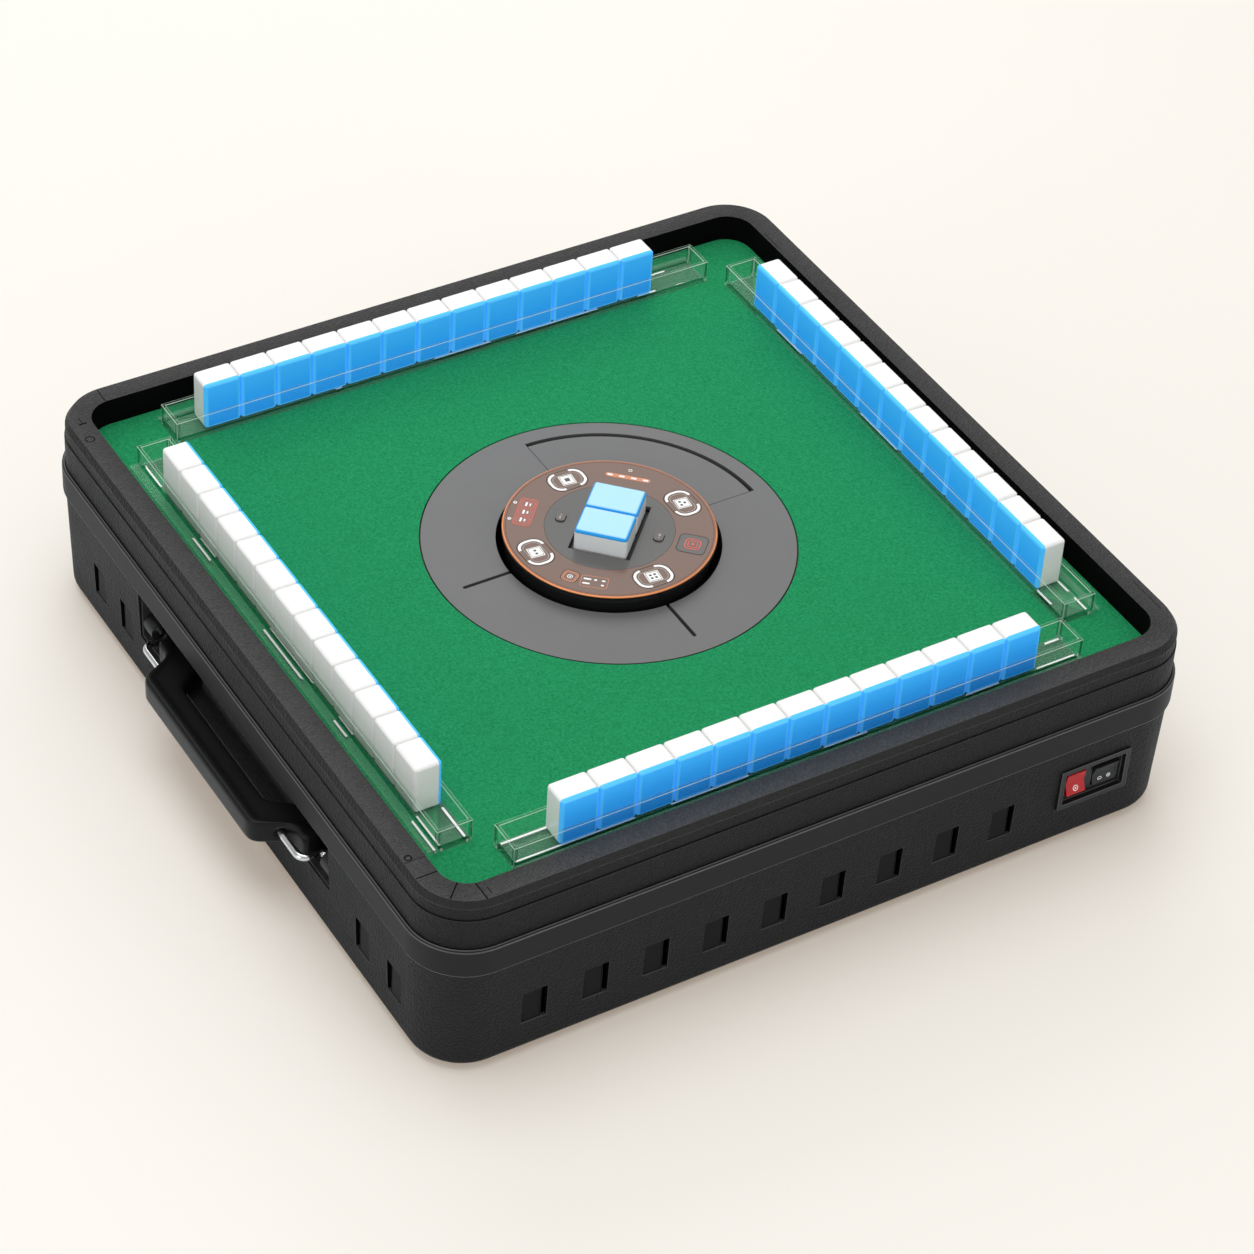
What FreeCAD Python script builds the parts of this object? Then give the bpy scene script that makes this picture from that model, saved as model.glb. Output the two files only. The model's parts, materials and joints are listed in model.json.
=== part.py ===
"""A portable automatic mahjong table: a carrying case with a felt playing top, a round
console that lifts two tiles through its middle, a tile mixing drum under the felt,
four clear racks of tiles, a switch panel and a folding carrying handle.

Millimetres. +Z is up, +X runs to the right along the switch side, +Y runs to the back,
and the handle is on the -X side. The origin is on the ground under the table's centre.
"""
import FreeCAD, Part
import math
import os
import Sketcher
from FreeCAD import Placement, Rotation, Vector

DRIVING_SIZES = {
    # Case: its side follows from the racks, which follow from the row of tiles
    "rack_corner_space": 56.0,
    "case_height": 157.0,
    "foot_height": 3.0,
    "foot_radius": 12.0,
    "foot_inset": 62.0,
    "foot_stem_radius": 4.0,
    "corner_radius": 38.0,
    "moulding_wall": 3.0,
    "edge_round": 1.5,
    "rim_bevel_reach": 3.3,
    "rim_bevel_drop": 5.0,
    "rim_width": 16.5,
    "felt_depth": 22.0,
    "frame_height": 40.5,
    "upper_band_height": 14.5,
    "band_step": 0.8,
    "band_groove": 0.9,
    "collar_height": 25.0,
    "collar_reach": 7.0,
    "shell_reach": 4.8,
    "shell_draft": 2.7,
    "bottom_round": 9.0,
    # Floor plate, let into the shell from below with a lap all round
    "floor_inset": 18.5,
    "floor_corner_radius": 45.0,
    "floor_lap": 6.0,
    "floor_gap": 0.4,
    "rib_height": 14.0,
    "rib_thickness": 2.4,
    "rib_gap": 20.0,
    # Screws that hold the case together from below
    "boss_radius": 6.5,
    "boss_inset": 22.5,
    "screw_radius": 2.0,
    "screw_head_radius": 4.0,
    "screw_head_height": 3.0,
    "screw_grip": 9.0,
    "screw_headroom": 1.5,
    "screw_clearance": 0.25,
    # Playing top
    "board_thickness": 6.0,
    "felt_thickness": 2.0,
    "ledge_width": 12.0,
    "board_clearance": 0.5,
    # Grey ring round the console
    "ring_hole_gap": 8.5,
    "ring_width": 52.0,
    "ring_flange_width": 6.5,
    "ring_flange_thickness": 2.0,
    "ring_thickness": 4.0,
    "ring_gap": 0.4,
    "hatch_inset": 16.2,
    "finger_slot_width": 3.7,
    "hatch_ledge": 4.0,
    "hatch_ledge_thickness": 1.5,
    "ring_slot_width": 3.0,
    "ring_slot_inset": 16.0,
    # Console
    "console_radius": 77.5,
    "console_height": 11.0,
    "console_drop": 20.0,
    "console_wall": 2.5,
    "panel_thickness": 3.0,
    "trim_overlap": 1.7,
    "trim_width": 2.8,
    "inner_panel_radius": 48.0,
    "panel_gap": 0.1,
    "key_length": 30.0,
    "key_margin": 3.2,
    "key_thickness": 2.0,
    "key_gap": 0.3,
    "start_key_margin": 3.7,
    "dice_key_side": 12.0,
    "dice_key_shift": 1.3,
    "side_button_length": 10.0,
    "side_button_width": 7.0,
    "side_button_proud": 1.2,
    "side_button_shift": 1.4,
    # Tile lift in the column under the console
    "window_end_gap": 3.25,
    "window_side_gap": 2.0,
    "tile_sink": 4.5,
    "column_wall": 6.4,
    "column_flange_radius": 62.0,
    "column_flange_thickness": 4.0,
    "platform_gap": 0.5,
    "platform_thickness": 3.0,
    "nut_height": 10.0,
    "nut_width": 14.0,
    "nut_end_gap": 2.0,
    "nut_drop": 14.5,
    "chamber_width": 16.0,
    "lift_screw_radius": 3.0,
    "lift_screw_offset": 10.75,
    "running_clearance": 0.05,
    "lift_motor_height": 22.0,
    "lift_motor_side": 13.0,
    "gate_width": 42.0,
    "gate_height": 27.0,
    # Mixing drum
    "drum_radius": 230.0,
    "drum_floor_height": 58.0,
    "drum_floor_rise": 8.0,
    "drum_rise_run": 16.0,
    "drum_headroom": 25.0,
    "drum_wall": 3.0,
    "drum_lip": 5.0,
    "hub_wall": 5.0,
    "hub_height": 20.0,
    "bearing_wall": 4.0,
    "bearing_flange": 8.0,
    "bearing_flange_thickness": 3.0,
    "vane_height": 12.0,
    "vane_thickness": 5.0,
    "vane_start": 110.0,
    "vane_end": 215.0,
    "gear_module": 4.0,
    "gear_width": 12.0,
    "gear_rim": 14.0,
    "gear_backlash": 0.5,
    "motor_radius": 24.0,
    "motor_gap": 7.0,
    "motor_shaft_radius": 4.0,
    "motor_plate_side": 64.0,
    # Tiles
    "tile_width": 29.8,
    "tile_height": 40.0,
    "tile_thickness": 21.0,
    "tile_back_thickness": 2.8,
    "tile_chamfer": 1.6,
    "tile_gap": 0.2,
    "back_row_shift": 12.0,
    # Clear racks
    "rack_spare": 74.0,
    "rack_margin": 32.0,
    "rack_wall": 2.7,
    "rack_floor": 3.0,
    "rack_height": 19.0,
    "rack_gap": 0.5,
    "rack_foot_reach": 6.5,
    # Louvred vents in the shell
    "vent_width": 19.5,
    "vent_height": 29.0,
    "vent_depth": 1.2,
    "vent_slit": 4.0,
    "vent_row_inset": 70.9,
    "vent_panel_gap": 47.9,
    "side_vent_spacing": 46.0,
    "side_vent_start": 37.0,
    "side_vent_shift": 12.0,
    # Switch panel
    "panel_inset": 76.5,
    "panel_border_height": 9.1,
    "bezel_lip": 1.2,
    "bezel_overlap": 2.4,
    "bezel_border": 4.0,
    "rocker_margin": 8.0,
    "rocker_space": 7.0,
    "bezel_depth": 9.0,
    "power_rocker_width": 16.5,
    "mode_rocker_width": 21.5,
    "rocker_radius": 9.4,
    "rocker_dip": 1.0,
    "rocker_rise": 3.4,
    "rocker_gap": 0.4,
    "switch_body_depth": 20.0,
    "inlet_width": 30.0,
    "inlet_height": 22.0,
    "inlet_depth": 18.0,
    "inlet_inset": 89.5,
    "inlet_wall": 3.0,
    # Carrying handle and its recess
    "recess_length": 302.0,
    "recess_depth": 24.0,
    "recess_wall": 2.0,
    "finger_pad_end": 76.0,
    "finger_pad_depth": 12.0,
    "finger_pad_slope": 5.0,
    "handle_drop": 98.0,
    "handle_end_gap": 33.0,
    "pivot_inset": 8.6,
    "lug_clearance": 0.8,
    "lug_reach": 12.0,
    "lug_behind": 3.0,
    "lug_length": 18.0,
    "grip_reach": 39.0,
    "grip_width": 22.0,
    "grip_thickness": 20.0,
    "grip_slope": 14.0,
    "grip_inner_inset": 52.0,
    "grip_bend": 12.0,
    "lug_round": 4.0,
    "bead_width": 7.0,
    "bead_height": 2.5,
    "web_round": 3.0,
    "wire_radius": 2.8,
    "wire_bend": 7.0,
    "wire_reach": 19.0,
    "wire_side_gap": 8.0,
    "wire_socket": 6.0,
    "wire_grip": 14.0,
    "pin_end_gap": 4.0,
    "socket_radius": 4.0,
    "bracket_width": 14.5,
    "bracket_radius": 8.5,
    # Electrics inside the case
    "circuit_length": 92.0,
    "circuit_width": 66.0,
    "circuit_thickness": 1.6,
    "circuit_side_inset": 89.5,
    "circuit_front_inset": 66.5,
    "chip_side": 16.0,
    "chip_height": 2.5,
    "connector_length": 30.0,
    "connector_height": 9.0,
    "standoff_height": 16.0,
    "standoff_side": 6.0,
    "standoff_inset": 6.0,
    "supply_length": 96.0,
    "supply_width": 50.0,
    "supply_height": 32.0,
    "supply_side_inset": 89.5,
    "supply_back_inset": 56.5,
    # Cutting tools run this far past what they cut
    "overrun": 5.0,
}

TILE_COUNT = 13
FRONT_VENTS = 9
GEAR_TEETH = 84
PINION_TEETH = 15
# Angles in degrees
ROCKER_TILT = 7
LIFT_TURN = -45.0
MOTOR_ANGLE = -45.0
START_KEY_ANGLE = -45
DICE_KEY_ANGLE = -147
# How far down the drafted wall its flat seats lie
SEAT_SHARE = 0.75
# Heights of the switch panel and the louvres on the shell
SWITCH_LEVEL_SHARE = 0.5847
VENT_LEVEL_SHARE = 0.4645
# Half the tile window's diagonal, of its length and width together
DIAGONAL_SHARE = 0.358
TRIM_BEVEL_SHARE = 0.33
KEY_CORNER_SHARE = 0.41
START_KEY_CORNER_SHARE = 0.19
DICE_KEY_CORNER_SHARE = 0.29
# A chamfer that touches the arc of a fillet, of the fillet's radius
FLAT_CORNER_SHARE = 2 - math.sqrt(2)
# A tooth's depth below the pitch circle in modules, and its half widths in tooth pitches
ROOT_DEPTH_SHARE = 1.25
ROOT_WIDTH_SHARE = 0.34
TIP_WIDTH_SHARE = 0.13
# Where the grip's web bends, of the bead's width
WEB_SHOULDER_SHARE = 0.5
WEB_KNEE_SHARE = 0.33

doc = FreeCAD.newDocument("MahjongTable")
sheet = doc.addObject("Spreadsheet::Sheet", "Sizes")
for row, (alias, value) in enumerate(DRIVING_SIZES.items(), start=1):
    sheet.set("A%d" % row, alias)
    sheet.set("B%d" % row, str(value))
    sheet.setAlias("B%d" % row, alias)
doc.recompute()


class Size:
    """A length that knows its value and the sheet expression that gives it."""

    def __init__(self, value, text):
        self.value = value
        self.text = text

    def __float__(self):
        return self.value

    def __add__(self, other):
        other = as_size(other)
        return Size(self.value + other.value, "(%s + %s)" % (self.text, other.text))

    def __sub__(self, other):
        other = as_size(other)
        return Size(self.value - other.value, "(%s - %s)" % (self.text, other.text))

    def __rsub__(self, other):
        return as_size(other) - self

    def __mul__(self, factor):
        return Size(self.value * factor, "(%s * %r)" % (self.text, float(factor)))

    __rmul__ = __mul__

    def __truediv__(self, factor):
        return Size(self.value / factor, "(%s / %r)" % (self.text, float(factor)))

    def __neg__(self):
        return Size(-self.value, "(0 - %s)" % self.text)


def as_size(value):
    return value if isinstance(value, Size) else Size(float(value), repr(float(value)))


class SizeBook:
    """Reads each driving size from the sheet as an attribute."""

    def __getattr__(self, alias):
        return Size(float(sheet.get(alias)), "Sizes.%s" % alias)


TOUCH = 1e-4
S = SizeBook()
ZERO = as_size(0)
nodes = []


def bind(thing, **sizes):
    """Ties properties of an object to the sheet; a double underscore stands for a dot."""
    for name, size in sizes.items():
        thing.setExpression(name.replace("__", "."), as_size(size).text)


def place(thing, x=ZERO, y=ZERO, z=ZERO):
    bind(thing, Placement__Base__x=x, Placement__Base__y=y, Placement__Base__z=z)
    return thing


def turn(thing, degrees, axis=Vector(0, 0, 1)):
    thing.Placement = Placement(thing.Placement.Base, Rotation(axis, degrees))
    return thing


def node(label, thing):
    """Names a finished piece; its label is the name of the file it is written to."""
    thing.Label = label
    nodes.append(thing)
    return thing


def box(x, y, z, width, depth, height):
    """A box from its lowest corner."""
    made = doc.addObject("Part::Box", "Block")
    bind(made, Length=width, Width=depth, Height=height)
    return place(made, x, y, z)


def centred_box(x, y, z, width, depth, height):
    """A box centred on x and y that stands on z."""
    return box(x - as_size(width) / 2, y - as_size(depth) / 2, z, width, depth, height)


def cylinder(radius, z, height, x=ZERO, y=ZERO, sweep=360):
    made = doc.addObject("Part::Cylinder", "Round")
    made.Angle = sweep
    bind(made, Radius=radius, Height=height)
    return place(made, x, y, z)


def lying_cylinder(radius, length, x, y, z, along):
    """A cylinder whose axis runs along +X or +Y from the given point."""
    made = cylinder(radius, z, length, x, y)
    axis = Vector(0, 1, 0) if along == "x" else Vector(-1, 0, 0)
    return turn(made, 90, axis)


def fuse(*things):
    made = doc.addObject("Part::MultiFuse", "Joined")
    made.Shapes = list(things)
    made.Refine = True
    return made


def about_axis(thing, degrees):
    """Swings a piece about the table's own upright axis."""
    made = doc.addObject("Part::Compound", "Swung")
    made.Links = [thing]
    return turn(made, degrees)


def mirrored(thing):
    """The same piece on the other side of the XZ plane."""
    made = doc.addObject("Part::Mirroring", "Mirrored")
    made.Source = thing
    made.Normal = Vector(0, 1, 0)
    return made


def cut(base, *tools):
    made = doc.addObject("Part::Cut", "Trimmed")
    made.Base = base
    made.Tool = tools[0] if len(tools) == 1 else fuse(*tools)
    made.Refine = True
    return made


def common(first, second):
    made = doc.addObject("Part::Common", "Shared")
    made.Base = first
    made.Tool = second
    return made


def new_body():
    return doc.addObject("PartDesign::Body", "Body")


def sketch_on(body, role, offset=ZERO):
    """A sketch on one of the body's own origin planes, moved along its normal."""
    sketch = body.newObject("Sketcher::SketchObject", "Outline")
    plane = next(item for item in body.Origin.OriginFeatures if item.Role == role)
    sketch.AttachmentSupport = [(plane, "")]
    sketch.MapMode = "FlatFace"
    bind(sketch, AttachmentOffset__Base__z=offset)
    return sketch


def pin_point(sketch, edge, end, x, y):
    """Fixes one point of an edge at x, y of the sketch."""
    for kind, axis, size in (("DistanceX", -2, as_size(x)), ("DistanceY", -1, as_size(y))):
        if size.value == 0:
            sketch.addConstraint(Sketcher.Constraint("PointOnObject", edge, end, axis))
        else:
            held = sketch.addConstraint(Sketcher.Constraint(kind, -1, 1, edge, end, size.value))
            sketch.setExpression("Constraints[%d]" % held, size.text)


def draw_polygon(sketch, points):
    """A closed outline of straight runs through the points, given as pairs of sizes."""
    corners = [Vector(float(x), float(y), 0) for x, y in points]
    first = sketch.GeometryCount
    for start, end in zip(corners, corners[1:] + corners[:1]):
        sketch.addGeometry(Part.LineSegment(start, end))
    for index, (x, y) in enumerate(points):
        following = first + (index + 1) % len(points)
        sketch.addConstraint(Sketcher.Constraint("Coincident", first + index, 2, following, 1))
        pin_point(sketch, first + index, 1, x, y)


def draw_circle(sketch, radius, x=ZERO, y=ZERO):
    centre = Vector(float(x), float(y), 0)
    edge = sketch.addGeometry(Part.Circle(centre, Vector(0, 0, 1), float(radius)))
    pin_point(sketch, edge, 3, x, y)
    held = sketch.addConstraint(Sketcher.Constraint("Radius", edge, float(radius)))
    sketch.setExpression("Constraints[%d]" % held, as_size(radius).text)


def draw_rounded_rectangle(sketch, half_x, half_y, radius, x=ZERO, y=ZERO):
    """A rectangle round x, y with four arcs joined by four straight sides."""
    arcs = []
    for quarter, (side_x, side_y) in enumerate(((1, 1), (-1, 1), (-1, -1), (1, -1))):
        centre_x = x + (half_x - radius) * side_x
        centre_y = y + (half_y - radius) * side_y
        circle = Part.Circle(Vector(float(centre_x), float(centre_y), 0), Vector(0, 0, 1), float(radius))
        start = quarter * math.pi / 2
        arc = sketch.addGeometry(Part.ArcOfCircle(circle, start, start + math.pi / 2))
        pin_point(sketch, arc, 3, centre_x, centre_y)
        held = sketch.addConstraint(Sketcher.Constraint("Radius", arc, float(radius)))
        sketch.setExpression("Constraints[%d]" % held, as_size(radius).text)
        level, upright = ("Horizontal", "Vertical") if quarter % 2 == 0 else ("Vertical", "Horizontal")
        sketch.addConstraint(Sketcher.Constraint(level, arc, 3, arc, 1))
        sketch.addConstraint(Sketcher.Constraint(upright, arc, 3, arc, 2))
        arcs.append((arc, circle, start))
    for (arc, circle, start), (next_arc, next_circle, next_start) in zip(arcs, arcs[1:] + arcs[:1]):
        side = sketch.addGeometry(
            Part.LineSegment(circle.value(start + math.pi / 2), next_circle.value(next_start))
        )
        sketch.addConstraint(Sketcher.Constraint("Coincident", arc, 2, side, 1))
        sketch.addConstraint(Sketcher.Constraint("Coincident", side, 2, next_arc, 1))


def pad(body, sketch, length):
    made = body.newObject("PartDesign::Pad", "Pad")
    made.Profile = sketch
    bind(made, Length=length)
    doc.recompute()
    return made


def pocket(body, sketch, length):
    """Cuts along the sketch's own normal, and checks that material came away."""
    before = body.Shape.Volume
    made = body.newObject("PartDesign::Pocket", "Pocket")
    made.Profile = sketch
    made.Reversed = True
    bind(made, Length=length)
    doc.recompute()
    if body.Shape.Volume >= before:
        raise RuntimeError("a pocket in %s cut nothing" % body.Label)
    return made


def revolve(body, sketch):
    made = body.newObject("PartDesign::Revolution", "Revolution")
    made.Profile = sketch
    made.ReferenceAxis = (sketch, ["V_Axis"])
    made.Angle = 360
    doc.recompute()
    return made


def round_edges(body, kind, size, chosen):
    """Fillets or chamfers the body's edges that the test picks out."""
    base = body.Tip
    names = ["Edge%d" % (i + 1) for i, edge in enumerate(base.Shape.Edges) if chosen(edge)]
    made = body.newObject("PartDesign::" + kind, kind)
    made.Base = (base, names)
    if kind == "Fillet":
        bind(made, Radius=size)
    else:
        bind(made, Size=size)
    doc.recompute()
    return made


def turned_piece(points):
    """A round piece made by turning a profile of radius and height about the Z axis."""
    body = new_body()
    profile = sketch_on(body, "XZ_Plane")
    draw_polygon(profile, points)
    revolve(body, profile)
    return body


def rounded_plate(half, radius, z, thickness):
    """A square plate with rounded corners, centred on the Z axis."""
    body = new_body()
    outline = sketch_on(body, "XY_Plane", z)
    draw_rounded_rectangle(outline, half, half, radius)
    pad(body, outline, thickness)
    return body


def is_level(edge, height):
    box_of_edge = edge.BoundBox
    return abs(box_of_edge.ZMin - height) < TOUCH and abs(box_of_edge.ZMax - height) < TOUCH


# Half widths that the pieces share, from the row of tiles outwards
tile_pitch = S.tile_width + S.tile_gap
rack_length = tile_pitch * TILE_COUNT + S.rack_spare
inner_half = rack_length / 2 + S.rack_corner_space
tile_orbit = inner_half - S.rack_margin
rim_half = inner_half + S.rim_width
frame_half = rim_half + S.rim_bevel_reach
band_half = frame_half + S.band_step
shell_half = rim_half + S.shell_reach
collar_half = rim_half + S.collar_reach
seat_half = shell_half - S.shell_draft * SEAT_SHARE

# Heights above the ground
rim_top = S.foot_height + S.case_height
frame_bottom = rim_top - S.frame_height
shell_top = frame_bottom - S.collar_height
shell_bottom = S.foot_height
floor_top = shell_bottom + S.moulding_wall
felt_top = rim_top - S.felt_depth
board_top = felt_top - S.felt_thickness
board_bottom = board_top - S.board_thickness
console_top = felt_top + S.console_height
deck_top = console_top - S.panel_thickness
deck_bottom = deck_top - S.console_wall
vent_level = shell_bottom + (shell_top - shell_bottom) * VENT_LEVEL_SHARE
screw_bite = board_bottom - frame_bottom - S.screw_headroom
switch_level = shell_bottom + (shell_top - shell_bottom) * SWITCH_LEVEL_SHARE

# The tile window and the column round it
window_length = S.tile_height + S.window_end_gap * 2
window_width = (tile_pitch + S.window_side_gap) * 2
column_radius = (window_length + window_width) * DIAGONAL_SHARE + S.column_wall
chamber_reach = column_radius - S.moulding_wall
lift_screw_orbit = window_length / 2 + S.lift_screw_offset

# The ring and the console
ring_hole_radius = S.console_radius + S.ring_hole_gap
ring_radius = ring_hole_radius + S.ring_width
hatch_radius = ring_radius - S.hatch_inset
ring_slot_reach = ring_radius - S.ring_slot_inset
trim_radius = S.console_radius + S.trim_overlap
trim_inner = trim_radius - S.trim_width
key_orbit = (trim_inner + S.inner_panel_radius) / 2
key_band = trim_inner - S.inner_panel_radius

# The switch panel
panel_width = S.power_rocker_width + S.mode_rocker_width + S.rocker_margin * 2 + S.rocker_space
panel_height = (S.rocker_radius + S.panel_border_height) * 2
panel_x = rim_half - S.panel_inset
inlet_x = rim_half - S.inlet_inset

# The handle: the axis that it swings about, and its lengths along the recess
handle_x = -(shell_half - S.shell_draft - S.pivot_inset)
handle_z = rim_top - S.handle_drop
recess_end = S.recess_length / 2
recess_bottom = handle_z - S.grip_thickness / 2 - S.lug_clearance - S.recess_wall
recess_height = shell_top - recess_bottom
handle_end = recess_end - S.handle_end_gap
wire_side = handle_end + S.wire_side_gap
pin_end = recess_end - S.pin_end_gap
bracket_start = recess_end - S.recess_wall - S.bracket_width


def corner_of(half):
    """The corner radius that keeps every outline of the case concentric."""
    return half - rim_half + S.corner_radius


def square_ring(body, z, outer, inner):
    outline = sketch_on(body, "XY_Plane", z)
    draw_rounded_rectangle(outline, outer, outer, corner_of(outer))
    draw_rounded_rectangle(outline, inner, inner, corner_of(inner))
    return outline


def make_top_frame():
    """The upper moulding: a flat rim with a bevelled edge, two outer bands parted by a groove,
    an inner wall, the board's ledge and the posts that the case screws bite into."""
    body = new_body()
    lower_band_height = S.frame_height - S.upper_band_height - S.band_groove
    groove_bottom = frame_bottom + lower_band_height
    groove_top = groove_bottom + S.band_groove
    for z, height, half in (
        (frame_bottom, lower_band_height, band_half),
        (groove_bottom, S.band_groove, frame_half - S.band_groove),
        (groove_top, S.upper_band_height, frame_half),
    ):
        pad(body, square_ring(body, z, half, inner_half), height)
    outer_reach = float(inner_half) + TOUCH
    bevel = round_edges(
        body, "Chamfer", S.rim_bevel_drop,
        lambda edge: is_level(edge, float(rim_top)) and far_out(edge, outer_reach),
    )
    bevel.ChamferType = "Two distances"
    bind(bevel, Size2=S.rim_bevel_reach)
    hollow_half = inner_half + S.moulding_wall
    skin_half = frame_half - S.moulding_wall
    hollow_height = S.frame_height - S.moulding_wall - S.rim_bevel_drop / 2
    pocket(body, square_ring(body, frame_bottom, skin_half, hollow_half), hollow_height)
    ledge_bottom = board_bottom - S.moulding_wall
    pad(body, square_ring(body, ledge_bottom, hollow_half, inner_half - S.ledge_width), S.moulding_wall)
    posts = []
    pilots = []
    for x, y in corner_places(S.boss_inset):
        posts.append(cylinder(S.boss_radius, frame_bottom, ledge_bottom - frame_bottom, x, y))
        pilots.append(
            cylinder(
                S.screw_radius + S.running_clearance, frame_bottom - S.overrun,
                screw_bite + S.overrun + S.screw_clearance, x, y,
            )
        )
    node("top_frame", cut(fuse(body, *posts), *pilots))


def far_out(edge, reach):
    """Whether an edge lies outside a square of this half width round the table's axis."""
    bounds = edge.BoundBox
    return max(abs(bounds.XMin), abs(bounds.XMax), abs(bounds.YMin), abs(bounds.YMax)) > reach


def corner_places(inset):
    """Four places, one in each corner of the case, set in from the rim's sides."""
    reach = rim_half - inset
    return [(reach * side_x, reach * side_y) for side_x in (-1, 1) for side_y in (-1, 1)]


def make_collar():
    """The belt that covers the joint between the top frame and the shell."""
    body = new_body()
    pad(body, square_ring(body, shell_top, collar_half, shell_half - S.moulding_wall), S.collar_height)
    outer_reach = float(shell_half) + TOUCH
    levels = (float(shell_top), float(frame_bottom))
    round_edges(
        body, "Chamfer", S.edge_round,
        lambda edge: far_out(edge, outer_reach) and any(is_level(edge, level) for level in levels),
    )
    node("collar", body)


def tapered_case(inset, bottom, kind, bottom_edge):
    """The shell's outline as a solid: two rounded squares lofted, with its bottom edge eased."""
    body = new_body()
    for z, half in ((shell_top, shell_half - inset), (bottom, shell_half - S.shell_draft - inset)):
        outline = sketch_on(body, "XY_Plane", z)
        draw_rounded_rectangle(outline, half, half, corner_of(half))
    sketches = [item for item in body.Group if item.isDerivedFrom("Sketcher::SketchObject")]
    loft = body.newObject("PartDesign::AdditiveLoft", "Loft")
    loft.Profile = sketches[0]
    loft.Sections = [sketches[1]]
    loft.Ruled = True
    doc.recompute()
    round_edges(body, kind, bottom_edge, lambda edge: is_level(edge, float(bottom)))
    return body


def vent_tools(side, centre, slit_end):
    """A louvre: a flat panel sunk into the wall, with a slit through the wall at its +1 or -1 end."""
    body = new_body()
    outline = sketch_on(body, "XY_Plane", vent_level - S.vent_height / 2)
    outside = shell_half + S.overrun
    near = centre - S.vent_width * (slit_end / 2)
    far = centre + S.vent_width * (slit_end / 2)
    slit_edge = far - S.vent_slit * slit_end
    sunk = shell_half - S.shell_draft * (1 - VENT_LEVEL_SHARE) - S.vent_depth
    through = shell_half - S.shell_draft - S.moulding_wall * 2
    draw_polygon(
        outline,
        [
            (near, -outside),
            (far, -outside),
            (far, -through),
            (slit_edge, -through),
            (slit_edge, -sunk),
            (near, -sunk),
        ],
    )
    pad(body, outline, S.vent_height)
    return turn(body, side)


def make_base_shell():
    """The lower moulding: drafted walls, a rolled bottom edge, louvres and a boss in each corner."""
    outer = tapered_case(ZERO, shell_bottom, "Fillet", S.bottom_round)
    inner_bevel = (S.bottom_round - S.moulding_wall) * FLAT_CORNER_SHARE
    inner = tapered_case(S.moulding_wall, floor_top, "Chamfer", inner_bevel)
    bosses = [
        cylinder(S.boss_radius, floor_top, frame_bottom - floor_top, x, y)
        for x, y in corner_places(S.boss_inset)
    ]
    node("base_shell", cut(fuse(cut(outer, inner), *bosses), *shell_openings()))


def floor_slab(margin, z, thickness):
    """A rounded square plate: the floor's outline moved outwards by a margin."""
    half = rim_half - S.floor_inset + margin
    return rounded_plate(half, S.floor_corner_radius + margin, z, thickness)


def make_base_floor():
    """The floor plate: its lip laps under the shell's edge, and ribs and posts stand on it."""
    features = [
        floor_slab(-S.floor_gap, shell_bottom, S.moulding_wall),
        floor_slab(S.floor_lap - S.floor_gap, shell_bottom, S.moulding_wall / 2),
    ]
    motor_x, motor_y = motor_place()
    rib_offset = motor_x + S.motor_plate_side / 2 + S.rib_gap
    rib_length = (rim_half - S.floor_inset - S.moulding_wall) * 2
    for offset in (-rib_offset, rib_offset):
        features.append(centred_box(offset, ZERO, floor_top, S.rib_thickness, rib_length, S.rib_height))
        features.append(centred_box(ZERO, offset, floor_top, rib_length, S.rib_thickness, S.rib_height))
    for x, y, length, width in (
        (*circuit_place(), S.circuit_length, S.circuit_width),
        (*supply_place(), S.supply_length, S.supply_width),
    ):
        for post_x, post_y in standoff_places(x, y, length, width):
            side = S.standoff_side
            features.append(centred_box(post_x, post_y, floor_top, side, side, S.standoff_height))
    stem_holes = [
        cylinder(S.foot_stem_radius + S.running_clearance, ZERO, S.moulding_wall * 3, x, y)
        for x, y in corner_places(S.foot_inset)
    ]
    node("base_floor", cut(fuse(*features), *stem_holes))


def circuit_place():
    return rim_half - S.circuit_side_inset, -(rim_half - S.circuit_front_inset)


def supply_place():
    return rim_half - S.supply_side_inset, rim_half - S.supply_back_inset


def standoff_places(x, y, length, width):
    reach_x = length / 2 - S.standoff_inset
    reach_y = width / 2 - S.standoff_inset
    return [(x + reach_x * side_x, y + reach_y * side_y) for side_x in (-1, 1) for side_y in (-1, 1)]


def shell_openings():
    """What is cut from the shell: the floor's seat, screw ways, louvres and three wall openings."""
    below = shell_bottom - S.overrun
    tools = [
        floor_slab(ZERO, below, S.overrun * 3),
        floor_slab(S.floor_lap, below, S.overrun + S.moulding_wall / 2),
    ]
    counterbore_depth = frame_bottom - S.screw_grip - below
    for x, y in corner_places(S.boss_inset):
        tools.append(cylinder(S.screw_radius + S.screw_clearance, below, rim_top, x, y))
        tools.append(cylinder(S.screw_head_radius + S.screw_clearance, below, counterbore_depth, x, y))
    tools += front_louvres() + side_louvres()
    tools.append(
        box(
            -(shell_half + S.overrun), -recess_end, recess_bottom,
            S.overrun + S.recess_depth, S.recess_length, recess_height + S.overrun,
        )
    )
    tools += wall_opening(panel_x, -1, panel_width, panel_height)
    tools += wall_opening(inlet_x, 1, S.inlet_width, S.inlet_height)
    return tools


def front_louvres():
    """A row of louvres from the left corner to the switch panel."""
    first = -(rim_half - S.vent_row_inset)
    last = panel_x - panel_width / 2 - S.vent_panel_gap
    spacing = (last - first) / (FRONT_VENTS - 1)
    return [vent_tools(0, first + spacing * index, 1) for index in range(FRONT_VENTS)]


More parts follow.
